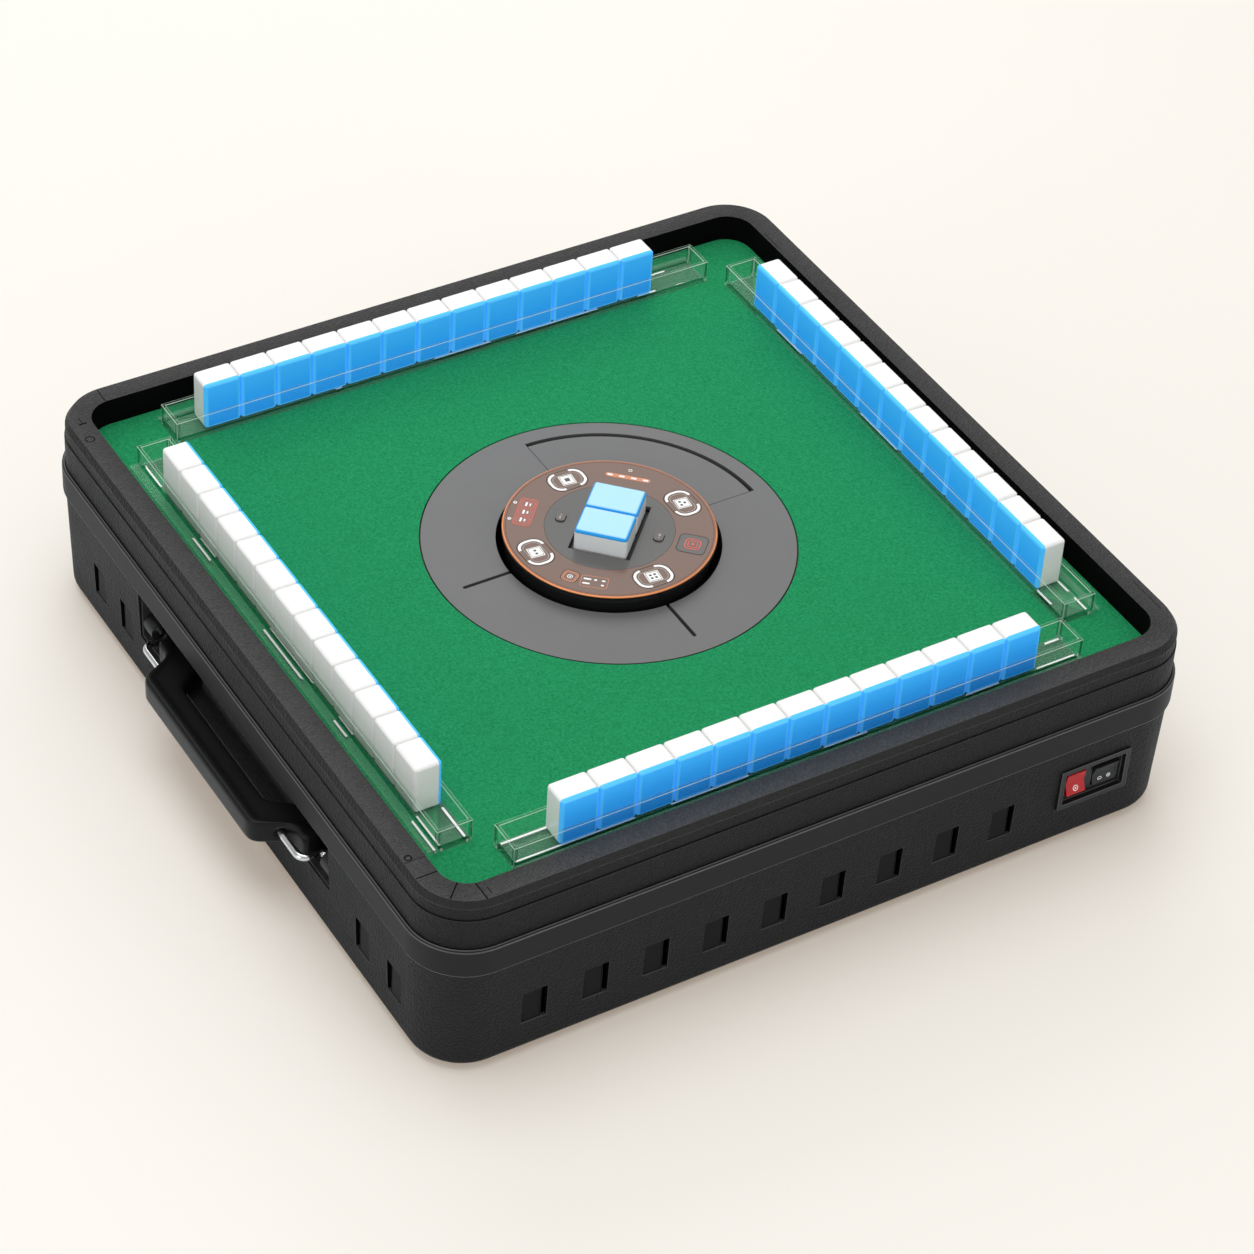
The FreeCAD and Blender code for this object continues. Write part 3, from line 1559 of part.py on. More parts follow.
def make_handle_wires():
    """A bent steel wire in each end of the grip, whose turned-out tip is the pivot pin."""
    run_x = handle_x - S.wire_reach
    cross_y = wire_side
    bend = S.wire_bend
    start = handle_end - S.lug_length - S.wire_socket - S.wire_grip
    run = lying_cylinder(S.wire_radius, cross_y - bend - start, run_x, start, handle_z, "y")
    first_bend = quarter_bend(run_x + bend, cross_y - bend, handle_z, 90)
    crossing = lying_cylinder(
        S.wire_radius, S.wire_reach - bend * 2, run_x + bend, cross_y, handle_z, "x"
    )
    second_bend = quarter_bend(handle_x - bend, cross_y + bend, handle_z, 270)
    pin_start = cross_y + bend
    pin = lying_cylinder(S.wire_radius, pin_end - pin_start, handle_x, pin_start, handle_z, "y")
    wire = node("handle_wire_back", fuse(run, first_bend, crossing, second_bend, pin))
    node("handle_wire_front", mirrored(wire))


def quarter_bend(x, y, z, degrees):
    """A quarter turn of wire round an upright axis, starting at the given angle."""
    made = doc.addObject("Part::Torus", "Bend")
    made.Angle3 = 90
    bind(made, Radius1=S.wire_bend, Radius2=S.wire_radius)
    return turn(place(made, x, y, z), degrees)


def make_handle_brackets():
    """The knuckle at each end of the recess that holds a wire's pivot pin."""
    start = bracket_start
    width = S.bracket_width
    knuckle = lying_cylinder(S.bracket_radius, width, handle_x, start, handle_z, "y")
    recess_back = -(shell_half - S.shell_draft) + S.recess_depth - S.recess_wall
    arm = box(
        handle_x, start, handle_z - S.bracket_radius, recess_back - handle_x, width, S.bracket_radius * 2
    )
    bore = lying_cylinder(
        S.wire_radius + S.running_clearance, pin_end - start + S.overrun + S.rocker_gap,
        handle_x, start - S.overrun, handle_z, "y",
    )
    bracket = node("handle_bracket_back", cut(fuse(knuckle, arm), bore))
    node("handle_bracket_front", mirrored(bracket))


make_top_frame()
make_collar()
make_base_shell()
make_base_floor()
make_case_screws()
make_feet()
make_playing_top()
make_centre_ring()
make_console()
make_inner_panel()
make_column()
make_lift()
make_drum_bearing()
make_drum()
make_gears()
make_drum_motor()
make_racks_and_tiles()
make_centre_tiles()
make_switch_panel()
make_inlet()
make_electrics()
make_handle_recess()
make_handle_grip()
make_handle_wires()
make_handle_brackets()
doc.recompute()

for item in doc.Objects:
    if "Invalid" in item.State or "Error" in item.State:
        raise RuntimeError("%s did not build" % item.Label)
os.makedirs("parts", exist_ok=True)
for item in nodes:
    if item.Shape.isNull() or not item.Shape.isValid() or not item.Shape.Solids:
        raise RuntimeError("%s has no sound solid" % item.Label)
    item.Shape.exportStep("parts/%s.step" % item.Label)
print("%d nodes, %d solids" % (len(nodes), sum(len(item.Shape.Solids) for item in nodes)))
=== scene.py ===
# %% [markdown]
# # A portable mahjong table, dressed
#
# The solids of the table come from its CAD model. This lesson gives each of them its look:
# moulded black plastic with a grain, green felt, melamine tiles, clear acrylic racks and
# a glossy printed console. Every length is in metres, with one value for a millimetre.

import json
import math

import bmesh
import bpy
from mathutils import Matrix, Vector


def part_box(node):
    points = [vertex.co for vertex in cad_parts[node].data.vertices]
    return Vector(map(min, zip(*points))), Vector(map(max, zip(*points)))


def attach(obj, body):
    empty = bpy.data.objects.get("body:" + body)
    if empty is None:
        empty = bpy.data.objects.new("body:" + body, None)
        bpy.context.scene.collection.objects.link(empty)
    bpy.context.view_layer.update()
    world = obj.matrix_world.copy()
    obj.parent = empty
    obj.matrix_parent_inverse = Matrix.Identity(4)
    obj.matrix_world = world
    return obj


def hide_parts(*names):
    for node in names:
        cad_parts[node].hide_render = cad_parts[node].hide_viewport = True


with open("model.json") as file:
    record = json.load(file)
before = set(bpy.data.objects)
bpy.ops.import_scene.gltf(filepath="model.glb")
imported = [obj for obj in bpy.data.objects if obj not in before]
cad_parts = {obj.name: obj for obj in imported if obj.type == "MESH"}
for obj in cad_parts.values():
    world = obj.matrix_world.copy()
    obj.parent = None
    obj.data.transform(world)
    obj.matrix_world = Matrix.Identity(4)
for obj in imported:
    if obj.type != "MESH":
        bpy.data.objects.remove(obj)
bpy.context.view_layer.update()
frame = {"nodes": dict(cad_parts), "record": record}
MM = 0.001

# %% [markdown]
# ## The camera
#
# The photograph is taken with a long lens from the front left, looking down at the table.
# A camera is easiest to place by the direction it looks from, its distance and a small roll,
# all about a point in the middle of the rim's top face.

# %% Place the camera
RIM_TOP = 160 * MM
LENS = 114.1
SENSOR = 36
FARTHEST = 100
LOOK_TURN = math.radians(-33.15)
LOOK_RISE = math.radians(40.70)
LOOK_ROLL = math.radians(3.92)
LOOK_DISTANCE = 2895.8 * MM
LOOK_ASIDE = 12.0 * MM
LOOK_ABOVE = -81.1 * MM

backwards = Vector((
    math.sin(LOOK_TURN) * math.cos(LOOK_RISE),
    -math.cos(LOOK_TURN) * math.cos(LOOK_RISE),
    math.sin(LOOK_RISE),
))
camera_turn = backwards.to_track_quat("Z", "Y").to_matrix() @ Matrix.Rotation(LOOK_ROLL, 3, "Z")
camera_place = (
    Vector((0, 0, RIM_TOP)) + backwards * LOOK_DISTANCE
    + camera_turn @ Vector((LOOK_ASIDE, LOOK_ABOVE, 0))
)
camera = bpy.data.objects.new("camera", bpy.data.cameras.new("camera"))
camera.data.lens = LENS
camera.data.sensor_width = SENSOR
camera.data.clip_end = FARTHEST
camera.matrix_world = Matrix.Translation(camera_place) @ camera_turn.to_4x4()
bpy.context.collection.objects.link(camera)
bpy.context.scene.camera = camera
bpy.context.scene.view_settings.view_transform = "Standard"
print("camera at", [round(value, 3) for value in camera_place])

# %% [markdown]
# ## Shader maths as Python
#
# A procedural material is arithmetic on sockets. One small class wraps a socket, so that an
# expression such as `1 - mask * 0.5` adds its own Math nodes. A second class holds a material,
# adds any other node from its type, its settings and the values of its sockets, and keeps the
# shader that the results go to.


# %% Wrap a socket so that it can be used in an expression
class Wire:
    """The output of a node, with operators that add Math nodes."""

    def __init__(self, finish, socket):
        self.finish = finish
        self.socket = socket

    def _math(self, operation, *values):
        return self.finish.add("ShaderNodeMath", {"operation": operation}, *values)

    def __add__(self, other):
        return self._math("ADD", self, other)

    __radd__ = __add__

    def __mul__(self, other):
        return self._math("MULTIPLY", self, other)

    __rmul__ = __mul__

    def __sub__(self, other):
        return self._math("SUBTRACT", self, other)

    def __rsub__(self, other):
        return self._math("SUBTRACT", other, self)

    def __gt__(self, other):
        return self._math("GREATER_THAN", self, other)

    def __lt__(self, other):
        return self._math("LESS_THAN", self, other)

    def __abs__(self):
        return self._math("ABSOLUTE", self)

    def power(self, exponent):
        return self._math("POWER", self, exponent)

    def least(self, other):
        return self._math("MINIMUM", self, other)

    def most(self, other):
        return self._math("MAXIMUM", self, other)


class Finish:
    """A material with its main shader and ways to add to it."""

    def __init__(self, name, colour, roughness, **fixed):
        self.material = bpy.data.materials.new(name)
        self.material.use_nodes = True
        self.tree = self.material.node_tree
        self.shader = self.tree.nodes["Principled BSDF"]
        self.set("Base Color", (*colour, 1))
        self.set("Roughness", roughness)
        for socket, value in fixed.items():
            self.set(socket.replace("_", " "), value)

    def add(self, kind, settings=None, *values, output=0, **named):
        """Any node, from its type, its settings and what its sockets hold or are linked to."""
        node = self.tree.nodes.new(kind)
        for name, value in (settings or {}).items():
            setattr(node, name, value)
        for index, value in enumerate(values):
            self.feed(node.inputs[index], value)
        for name, value in named.items():
            self.feed(node.inputs[name.replace("_", " ")], value)
        return Wire(self, node.outputs[output])

    def feed(self, socket, value):
        if isinstance(value, Wire):
            self.tree.links.new(value.socket, socket)
        else:
            socket.default_value = value

    def set(self, socket, value):
        self.feed(self.shader.inputs[socket], value)

    def place(self):
        """The point of the surface in the table's own metres."""
        return self.add("ShaderNodeTexCoord", output="Object")

    def stretched(self, scale):
        """The same point with its axes scaled, so that a pattern turns into streaks."""
        return self.add("ShaderNodeMapping", None, Vector=self.place(), Scale=scale)

    def parts(self):
        """The three coordinates of that point, each on its own."""
        split = self.add("ShaderNodeSeparateXYZ", None, self.place())
        return [Wire(self, split.socket.node.outputs[axis]) for axis in "XYZ"]

    def noise(self, scale, detail, roughness=0.5, vector=None):
        return self.add(
            "ShaderNodeTexNoise", None, Vector=vector or self.place(),
            Scale=scale, Detail=detail, Roughness=roughness,
        )

    def cells(self, scale, feature, vector=None):
        return self.add(
            "ShaderNodeTexVoronoi", {"feature": feature}, Vector=vector or self.place(), Scale=scale
        )

    def ramp(self, value, low, high):
        """Zero up to the low value, one from the high value on, and even between them."""
        return self.add("ShaderNodeMapRange", None, value, low, high)

    def blend(self, factor, first, second):
        """One colour where the factor is 0, the other where it is 1."""
        mixer = self.tree.nodes.new("ShaderNodeMix")
        mixer.data_type = "RGBA"
        self.feed(mixer.inputs["Factor"], factor)
        for socket, colour in ((mixer.inputs["A"], first), (mixer.inputs["B"], second)):
            self.feed(socket, colour if isinstance(colour, Wire) else (*colour, 1))
        return Wire(self, mixer.outputs["Result"])

    def bump(self, height, strength, depth):
        self.set("Normal", self.add(
            "ShaderNodeBump", None, Height=height, Strength=strength, Distance=depth
        ))


print("shader helpers are ready")

# %% [markdown]
# ## Light, ground and background
#
# The table stands on a warm white ground. Bounced light under a product photograph is warm,
# so its shadow turns brown rather than grey: the ground shows the camera a small warm share
# of its own, and the rest is the light that falls on it. A wide lamp behind the table gives
# the level faces their sheen, and weak ones at the sides keep the black walls readable.

# %% Make the ground, the sky and the lamps
PAPER = (0.974, 0.948, 0.88)
SKY_LIGHT = (0.5, 0.5, 0.49)
GROUND = (0.925, 0.955, 0.945)
WARM_BOUNCE = (1.0, 0.72, 0.5)
WARM_SHARE = 0.22
GROUND_HALF = 12
world = bpy.data.worlds.new("studio")
world.use_nodes = True
bpy.context.scene.world = world
sky = world.node_tree.nodes["Background"]
path = world.node_tree.nodes.new("ShaderNodeLightPath")
tint = world.node_tree.nodes.new("ShaderNodeMix")
tint.data_type = "RGBA"
tint.inputs["A"].default_value = (*SKY_LIGHT, 1)
tint.inputs["B"].default_value = (*PAPER, 1)
world.node_tree.links.new(path.outputs["Is Camera Ray"], tint.inputs["Factor"])
world.node_tree.links.new(tint.outputs["Result"], sky.inputs["Color"])

ground_finish = Finish("ground_paper", GROUND, 0.9, Specular_IOR_Level=0.1)
glow = ground_finish.add("ShaderNodeEmission", None, Color=(*WARM_BOUNCE, 1), Strength=1.0)
seen = ground_finish.add("ShaderNodeLightPath", output="Is Camera Ray")
ground_mix = ground_finish.add("ShaderNodeMixShader", None, seen * WARM_SHARE)
ground_finish.tree.links.new(ground_finish.shader.outputs[0], ground_mix.socket.node.inputs[1])
ground_finish.tree.links.new(glow.socket, ground_mix.socket.node.inputs[2])
ground_finish.tree.links.new(
    ground_mix.socket, ground_finish.tree.nodes["Material Output"].inputs["Surface"]
)

ground_mesh = bpy.data.meshes.new("ground")
shape = bmesh.new()
bmesh.ops.create_grid(shape, x_segments=1, y_segments=1, size=GROUND_HALF)
shape.to_mesh(ground_mesh)
shape.free()
ground_mesh.materials.append(ground_finish.material)
ground = bpy.data.objects.new("ground", ground_mesh)
bpy.context.collection.objects.link(ground)

LAMP_AIM = Vector((0, 0, 0.1))
LAMPS = {
    "back_panel": (Vector((0.9, 2.6, 2.2)), (3.0, 1.6), 32),
    "top_panel": (Vector((-0.3, 0.2, 3.0)), (2.4, 2.4), 42),
    "left_strip": (Vector((-2.6, -0.6, 0.9)), (1.2, 1.0), 11),
    "front_strip": (Vector((0.6, -2.8, 0.8)), (1.8, 0.8), 12),
}
for name, (lamp_place, lamp_size, watts) in LAMPS.items():
    light = bpy.data.lights.new(name, "AREA")
    light.shape = "RECTANGLE"
    light.size, light.size_y = lamp_size
    light.energy = watts
    holder = bpy.data.objects.new(name, light)
    holder.location = lamp_place
    holder.rotation_euler = (LAMP_AIM - lamp_place).to_track_quat("-Z", "Y").to_euler()
    bpy.context.collection.objects.link(holder)
print("ground, sky and", len(LAMPS), "lamps made")

# %% [markdown]
# ## Black moulded plastic
#
# The case is one black plastic in three textures: a leather grain on the rim, a fine even
# spark texture on the walls and a faint brushed grain on the belt. Real moulding texture is
# shallow and never repeats, so it is made from noise and cell textures in the table's own
# coordinates, with the same noise breaking up the roughness. A textured black gives back
# little mirror light, so the edges get a paler plastic of their own as a painted highlight.
# Near-black copies are painted shade in grooves, ledges and louvres, and lighter copies are
# painted light on the chamfer and in the handle's recess.

# %% Mix the black plastics
CLOUDS = 38.0
SPECKS = (0.35, 0.7)


def black_plastic(name, colour, roughness, cell_scale, grain_scale, depth, strength, mirror):
    """Plastic with pebbles and grain, both given per metre, in a bump so many metres deep."""
    finish = Finish(name, colour, roughness, Specular_IOR_Level=mirror)
    pebble = finish.cells(cell_scale, "SMOOTH_F1")
    grain = finish.noise(grain_scale, 3.0, 0.6)
    finish.bump(pebble * 0.7 + grain * 0.6, strength, depth)
    cloud = finish.noise(CLOUDS, 3.0, 0.6)
    speck = finish.ramp(grain, *SPECKS)
    finish.set("Roughness", roughness - 0.08 + cloud * 0.12 + speck * 0.06)
    pale = tuple(value * 1.9 for value in colour)
    finish.set("Base Color", finish.blend(speck * 0.6, colour, pale))
    return finish.material


WALL_BLACK = (0.0065, 0.0065, 0.0063)
SHADE_AND_JOINT_TONE = (0.002, 0.002, 0.002)
wall_plastic = black_plastic(
    "wall_plastic", WALL_BLACK, 0.55, 520.0, 560.0, 0.0016, 1.0, 0.22
)
handle_plastic = black_plastic(
    "handle_plastic", (0.008, 0.008, 0.0082), 0.3, 1800.0, 1500.0, 0.00008, 0.2, 0.13
)
# Near-black painted shade for grooves, ledges and louvre cheeks; the rim's dark joints use it too.
shade_and_joint_black = black_plastic(
    "shade_and_joint_black", SHADE_AND_JOINT_TONE, 0.8, 1500.0, 1400.0, 0.0001, 0.2, 0.04
)
# Painted shade for the sunk floors of the louvres.
louvre_shade = black_plastic(
    "louvre_shade", (0.004, 0.004, 0.004), 0.5, 1500.0, 1400.0, 0.0001, 0.3, 0.11
)
# The recess plastic is painted lighter than the walls: painted light against the shade of its
# pocket.
recess_lit_plastic = black_plastic(
    "recess_lit_plastic", (0.024, 0.024, 0.0235), 0.6, 520.0, 560.0, 0.0012, 0.8, 0.25
)
# The chamfer is painted a little lighter than the walls: painted light on its upward slope.
chamfer_lit_plastic = black_plastic(
    "chamfer_lit_plastic", (0.01, 0.01, 0.0098), 0.5, 520.0, 560.0, 0.0012, 0.9, 0.25
)
smooth_black = black_plastic(
    "smooth_black", (0.007, 0.007, 0.0075), 0.34, 2400.0, 1800.0, 0.00005, 0.15, 0.35
)
# A paler plastic for the bevels and the louvre sills: a painted highlight.
painted_highlight = black_plastic(
    "painted_highlight", (0.045, 0.045, 0.045), 0.38, 2000.0, 1500.0, 0.00005, 0.2, 0.6
)


def brushed_belt():
    """The belt's plastic, whose streaks run level round the case."""
    finish = Finish("belt_plastic", WALL_BLACK, 0.5, Specular_IOR_Level=0.22)
    streaks = finish.noise(1.0, 4.0, 0.6, finish.stretched((14.0, 14.0, 900.0)))
    finish.bump(streaks, 0.35, 0.0003)
    grain = finish.noise(1500.0, 2.0)
    finish.set("Roughness", 0.42 + streaks * 0.14 + grain * 0.08)
    pale = tuple(value * 1.7 for value in WALL_BLACK)
    finish.set("Base Color", finish.blend(grain * 0.5, WALL_BLACK, pale))
    return finish.material


belt_plastic = brushed_belt()
print("black plastics mixed")

# %% [markdown]
# ## The rim's leather grain
#
# The rim's top has a leather grain: pebbles a millimetre or two wide with fine creases
# between them. The pebbles lift the surface, and their tops are rubbed a little paler. The
# strip beside the felt is painted darker, as painted shade of the tiles, and the outer strip
# paler.

# %% Mix the rim plastic
RIM_BLACK = (0.024, 0.024, 0.0243)
RIM_INNER = 288.0 * MM
RIM_OUTER = 303.0 * MM
RIM_SHADE = (0.004, 0.004, 0.004)
RIM_SHADE_SHARE = 0.55


def band(value, low, high):
    """One where the value lies between the two limits, zero elsewhere."""
    return (value > low) * (value < high)


def rim_plastic_finish():
    """The leather grain, in painted shade beside the felt and paler towards the outside."""
    finish = Finish("rim_plastic", RIM_BLACK, 0.5, Specular_IOR_Level=0.42)
    pebble = finish.cells(620.0, "SMOOTH_F1")
    crease = finish.cells(330.0, "DISTANCE_TO_EDGE", finish.stretched((1.0, 1.6, 1.0)))
    grain = finish.noise(900.0, 3.0, 0.6)
    finish.bump(pebble * 0.9 + grain * 0.6 + crease, 1.0, 0.0011)
    speck = finish.ramp(grain, *SPECKS)
    finish.set("Roughness", 0.42 + finish.noise(CLOUDS, 3.0) * 0.14 + speck * 0.06)
    pale = tuple(value * 1.8 for value in RIM_BLACK)
    rubbed = (speck * 0.5).most(finish.ramp(pebble, 0.25, 0.6))
    x, y = finish.parts()[:2]
    # Painted shade: the strip beside the felt is darker, and the outer strip is paler.
    outer = finish.ramp(abs(x).most(abs(y)), RIM_INNER, RIM_OUTER)
    skin = finish.blend(rubbed, RIM_BLACK, pale)
    shaded = finish.blend(RIM_SHADE_SHARE, skin, RIM_SHADE)
    finish.set("Base Color", finish.blend(outer, shaded, skin))
    return finish.material


rim_plastic = rim_plastic_finish()
print("rim plastic mixed")

# %% [markdown]
# ## Felt and tiles
#
# The felt is short and pressed: fine fibres lie in every direction, and patches lean
# together, which shows as slightly lighter and darker green. The tiles are polished
# melamine, pure white and sky blue, with a soft gloss. Their blue is painted lighter where
# light falls on it, and the blue of the tiles carries a painted glow.

# %% Mix the felt and the tile colours
STANDING = (141.0 * MM, 181.0 * MM)
LYING_TOP = 165.5 * MM
LYING_EDGE = (0.6 * MM, 0.15 * MM)


def felt_cloth():
    """Pressed green fibres in tufts, with patches that lean together."""
    finish = Finish("felt_cloth", (0.014, 0.27, 0.1), 0.95, Specular_IOR_Level=0.08)
    fibre = finish.noise(1500.0, 2.0, 0.7)
    tuft = finish.noise(520.0, 3.0, 0.6)
    lean = finish.noise(26.0, 4.0, 0.6)
    tone = finish.ramp(fibre * 0.5 + tuft * 0.5, 0.38, 0.62)
    shade = finish.ramp(lean, 0.3, 0.7)
    cloth = finish.blend(tone, (0.006, 0.182, 0.058), (0.026, 0.34, 0.139))
    finish.set("Base Color", finish.blend(shade * 0.25, cloth, (0.017, 0.275, 0.106)))
    finish.bump(fibre * 0.5 + tuft, 0.6, 0.0004)
    return finish.material


def melamine(name, colour, deeper, **fixed):
    """Polished melamine, with a faint cloud in its colour and its gloss."""
    finish = Finish(name, colour, 0.2, IOR=1.5, Specular_IOR_Level=0.4, **fixed)
    cloud = finish.noise(90.0, 3.0)
    finish.set("Base Color", finish.blend(cloud * 0.35, colour, deeper))
    finish.set("Roughness", 0.17 + cloud * 0.08)
    finish.bump(finish.noise(400.0, 2.0), 0.03, 0.0002)
    return finish.material


def lit_top_melamine():
    """The blue of the two lying tiles, whose flat tops are painted paler as painted light."""
    finish = Finish("tile_lit_top", (0.4, 0.8, 0.98), 0.2, Specular_IOR_Level=0.4)
    z = finish.parts()[2]
    cloud = finish.noise(90.0, 3.0)
    # Painted light: the flat top is paler than the rounded edges.
    top = finish.ramp(z, LYING_TOP - LYING_EDGE[0], LYING_TOP - LYING_EDGE[1])
    pale = finish.blend(cloud * 0.35, (0.4, 0.74, 0.98), (0.36, 0.71, 0.97))
    finish.set("Base Color", finish.blend(top, (0.02, 0.36, 0.88), pale))
    finish.set("Roughness", 0.17 + cloud * 0.08)
    return finish.material


def glowing_blue_backs():
    """The blue of the standing tiles, painted lighter towards the top, with a painted glow."""
    finish = Finish("tile_blue", (0.02, 0.43, 0.97), 0.2, Specular_IOR_Level=0.4)
    z = finish.parts()[2]
    cloud = finish.noise(90.0, 3.0)
    # Painted light: the blue is lighter towards the tops of the tiles.
    height = finish.ramp(z, *STANDING)
    finish.set("Base Color", finish.blend(
        height * 0.8 + cloud * 0.2, (0.008, 0.33, 0.93), (0.055, 0.5, 1.0)
    ))
    # Painted glow: the backs give out a little blue light of their own, more towards the top.
    finish.set("Emission Color", finish.blend(height, (0.0, 0.05, 0.24), (0.02, 0.11, 0.31)))
    finish.set("Emission Strength", 1.0)
    finish.set("Roughness", 0.17 + cloud * 0.08)
    return finish.material


felt_green = felt_cloth()
tile_white = melamine("tile_white", (0.9, 0.9, 0.895), (0.87, 0.87, 0.865))
tile_blue = glowing_blue_backs()
# The rounded blue edges also carry a painted glow.
glowing_blue_edge = melamine(
    "glowing_blue_edge", (0.08, 0.54, 1.0), (0.05, 0.5, 0.98),
    Emission_Color=(0.02, 0.11, 0.3, 1), Emission_Strength=1.0,
)
tile_lit_top = lit_top_melamine()
print("felt and melamine mixed")

# %% [markdown]
# ## Clear acrylic
#
# Cast acrylic shows mostly by its edges. The polished edges are painted pale green as a painted
# glow of the light that leaves a wall there, and the glued corners are thick enough to look dark
# green. The floor lifts the felt's colour, and broken white bars beside the walls are a painted
# reflection of the lamps. A thin see-through skin with these zones stays clean where refraction
# turns grey.

# %% Mix the acrylic
RACK_FLOOR = 141.3 * MM
RACK_END = 229.3 * MM
RACK_INNER_WALL = 245.6 * MM
RACK_OUTER_WALL = 266.9 * MM
RACK_FOOT = 269.9 * MM
GLINT_WIDTH = 1.8 * MM
ACRYLIC_IOR = 1.49
WALL_TINT = (0.72, 0.9, 0.79)
CORNER_TINT = (0.01, 0.13, 0.055)
FLOOR_TINT = (0.5, 0.82, 0.62)
GLINT_WHITE = (0.97, 0.98, 0.96)


def clear_acrylic():
    """The racks' thin skin, with its corners, floor and painted lamp reflections picked out."""
    finish = Finish("clear_acrylic", WALL_TINT, 0.05, IOR=ACRYLIC_IOR)
    x, y, z = finish.parts()
    reach = abs(x).most(abs(y))
    along = abs(x).least(abs(y))
    smear = finish.noise(60.0, 3.0)
    floor = z < RACK_FLOOR
    in_wall = (reach < RACK_INNER_WALL).most(band(reach, RACK_OUTER_WALL, RACK_FOOT))
    corner = (along > RACK_END) * in_wall
    # Painted reflection: broken white bars of the lamps on the floor beside the walls and at the
    # foot.
    inner_bar = band(reach, RACK_INNER_WALL, RACK_INNER_WALL + GLINT_WIDTH)
    outer_bar = band(reach, RACK_OUTER_WALL - GLINT_WIDTH, RACK_OUTER_WALL)
    foot_bar = band(0.0 - x, RACK_FOOT, RACK_FOOT + GLINT_WIDTH)
    lit = finish.noise(19.0, 1.0) > 0.53
    glint = floor * foot_bar.most(inner_bar).most(outer_bar) * lit
    tone = finish.blend(corner, WALL_TINT, CORNER_TINT)
    tone = finish.blend(floor, tone, FLOOR_TINT)
    finish.set("Base Color", finish.blend(glint, tone, GLINT_WHITE))
    finish.set("Roughness", 0.03 + smear * 0.04)
    skin = 0.012 + smear * 0.02
    finish.set("Alpha", skin + floor * 0.1 + corner * 0.42 + glint * 0.8)
    return finish.material


def edge_glow_acrylic():
    """The racks' edges, a painted glow of pale green, fainter where they lie on the felt."""
    finish = Finish("edge_glow_acrylic", (0.7, 0.87, 0.72), 0.08, IOR=ACRYLIC_IOR)
    # Painted glow: the edges are coloured pale green.
    glow = finish.noise(40.0, 2.0)
    finish.set("Base Color", finish.blend(glow, (0.42, 0.68, 0.5), (0.85, 0.95, 0.84)))
    finish.set("Roughness", 0.05 + glow * 0.06)
    z = finish.parts()[2]
    finish.set("Alpha", (0.5 + glow * 0.35) * (0.3 + (z > RACK_FLOOR) * 0.7))
    return finish.material


rack_acrylic = clear_acrylic()
rack_edge_glow = edge_glow_acrylic()
print("acrylic mixed")

# %% [markdown]
# ## Console, metal and the hidden parts
#
# The ring is a satin grey moulding. The console's printed ring is brown under a clear
# gloss, its middle disc is dark grey, and its edge is copper. Steel, rubber, acetal gears,
# the circuit board and the dark board under the felt are only seen in other poses or through
# gaps, but they get their own finish all the same.


# %% Mix the remaining finishes
def satin(name, colour, roughness, variation, fine_scale=1200.0, fine_depth=0.00008, **fixed):
    """A plain finish with a fine grain, for moulded, printed and plated parts."""
    finish = Finish(name, colour, roughness, **fixed)
    cloud = finish.noise(30.0, 3.0)
    fine = finish.noise(fine_scale, 2.0)
    finish.set("Roughness", roughness + (cloud - 0.5) * variation + (fine - 0.5) * variation)
    darker = tuple(value * 0.85 for value in colour)
    finish.set("Base Color", finish.blend(fine * 0.6, colour, darker))
    finish.bump(fine, 0.25, fine_depth)
    return finish.material


def fibreboard():
    """Pressed wood chips, coloured dark so that the gap round the ring reads as painted shade."""
    finish = Finish("fibreboard", (0.05, 0.035, 0.022), 0.8)
    chips = finish.noise(300.0, 5.0, 0.7)
    finish.set("Base Color", finish.blend(chips, (0.03, 0.02, 0.012), (0.08, 0.055, 0.035)))
    finish.bump(chips, 0.4, 0.0004)
    return finish.material


TRIM_LINE = 78.0 * MM
TRIM_SIDE = 148.2 * MM


def copper_ring():
    """A dark copper edge, with a painted highlight as a bright line round its outer corner."""
    finish = Finish("copper_edge", (0.3, 0.11, 0.05), 0.3, Metallic=0.3)
    x, y, z = finish.parts()
    orbit = (x * x + y * y).power(0.5)
    turned = finish.noise(700.0, 2.0)
    # The bright line round the outer corner is a painted highlight.
    top = finish.blend(orbit > TRIM_LINE, (0.2, 0.08, 0.045), (0.72, 0.25, 0.08))
    finish.set("Base Color", finish.blend(z < TRIM_SIDE, top, (0.006, 0.005, 0.005)))
    finish.set("Roughness", 0.26 + turned * 0.1)
    return finish.material


ring_grey = satin("ring_grey", (0.128, 0.128, 0.129), 0.42, 0.06)
console_black = satin("console_black", (0.014, 0.014, 0.0145), 0.16, 0.05)
copper_edge = copper_ring()
brown_gloss = satin(
    "brown_gloss", (0.19, 0.117, 0.09), 0.17, 0.03, 900.0, 0.00002, Specular_IOR_Level=0.25
)
disc_grey = satin(
    "disc_grey", (0.125, 0.124, 0.122), 0.22, 0.03, 900.0, 0.00002, Specular_IOR_Level=0.2
)
key_grey = satin("key_grey", (0.115, 0.105, 0.1), 0.2, 0.04, Specular_IOR_Level=0.3)
key_shadow = satin("key_shadow", (0.045, 0.03, 0.025), 0.3, 0.04)
print_white = satin("print_white", (0.95, 0.94, 0.93), 0.35, 0.04)
print_pale = satin("print_pale", (0.42, 0.36, 0.33), 0.35, 0.04)
print_dark = satin("print_dark", (0.05, 0.04, 0.04), 0.35, 0.04)
print_red = satin("print_red", (0.68, 0.075, 0.04), 0.35, 0.04)
print_rust = satin("print_rust", (0.27, 0.09, 0.065), 0.3, 0.04)
print_orange = satin("print_orange", (0.68, 0.24, 0.11), 0.35, 0.04)
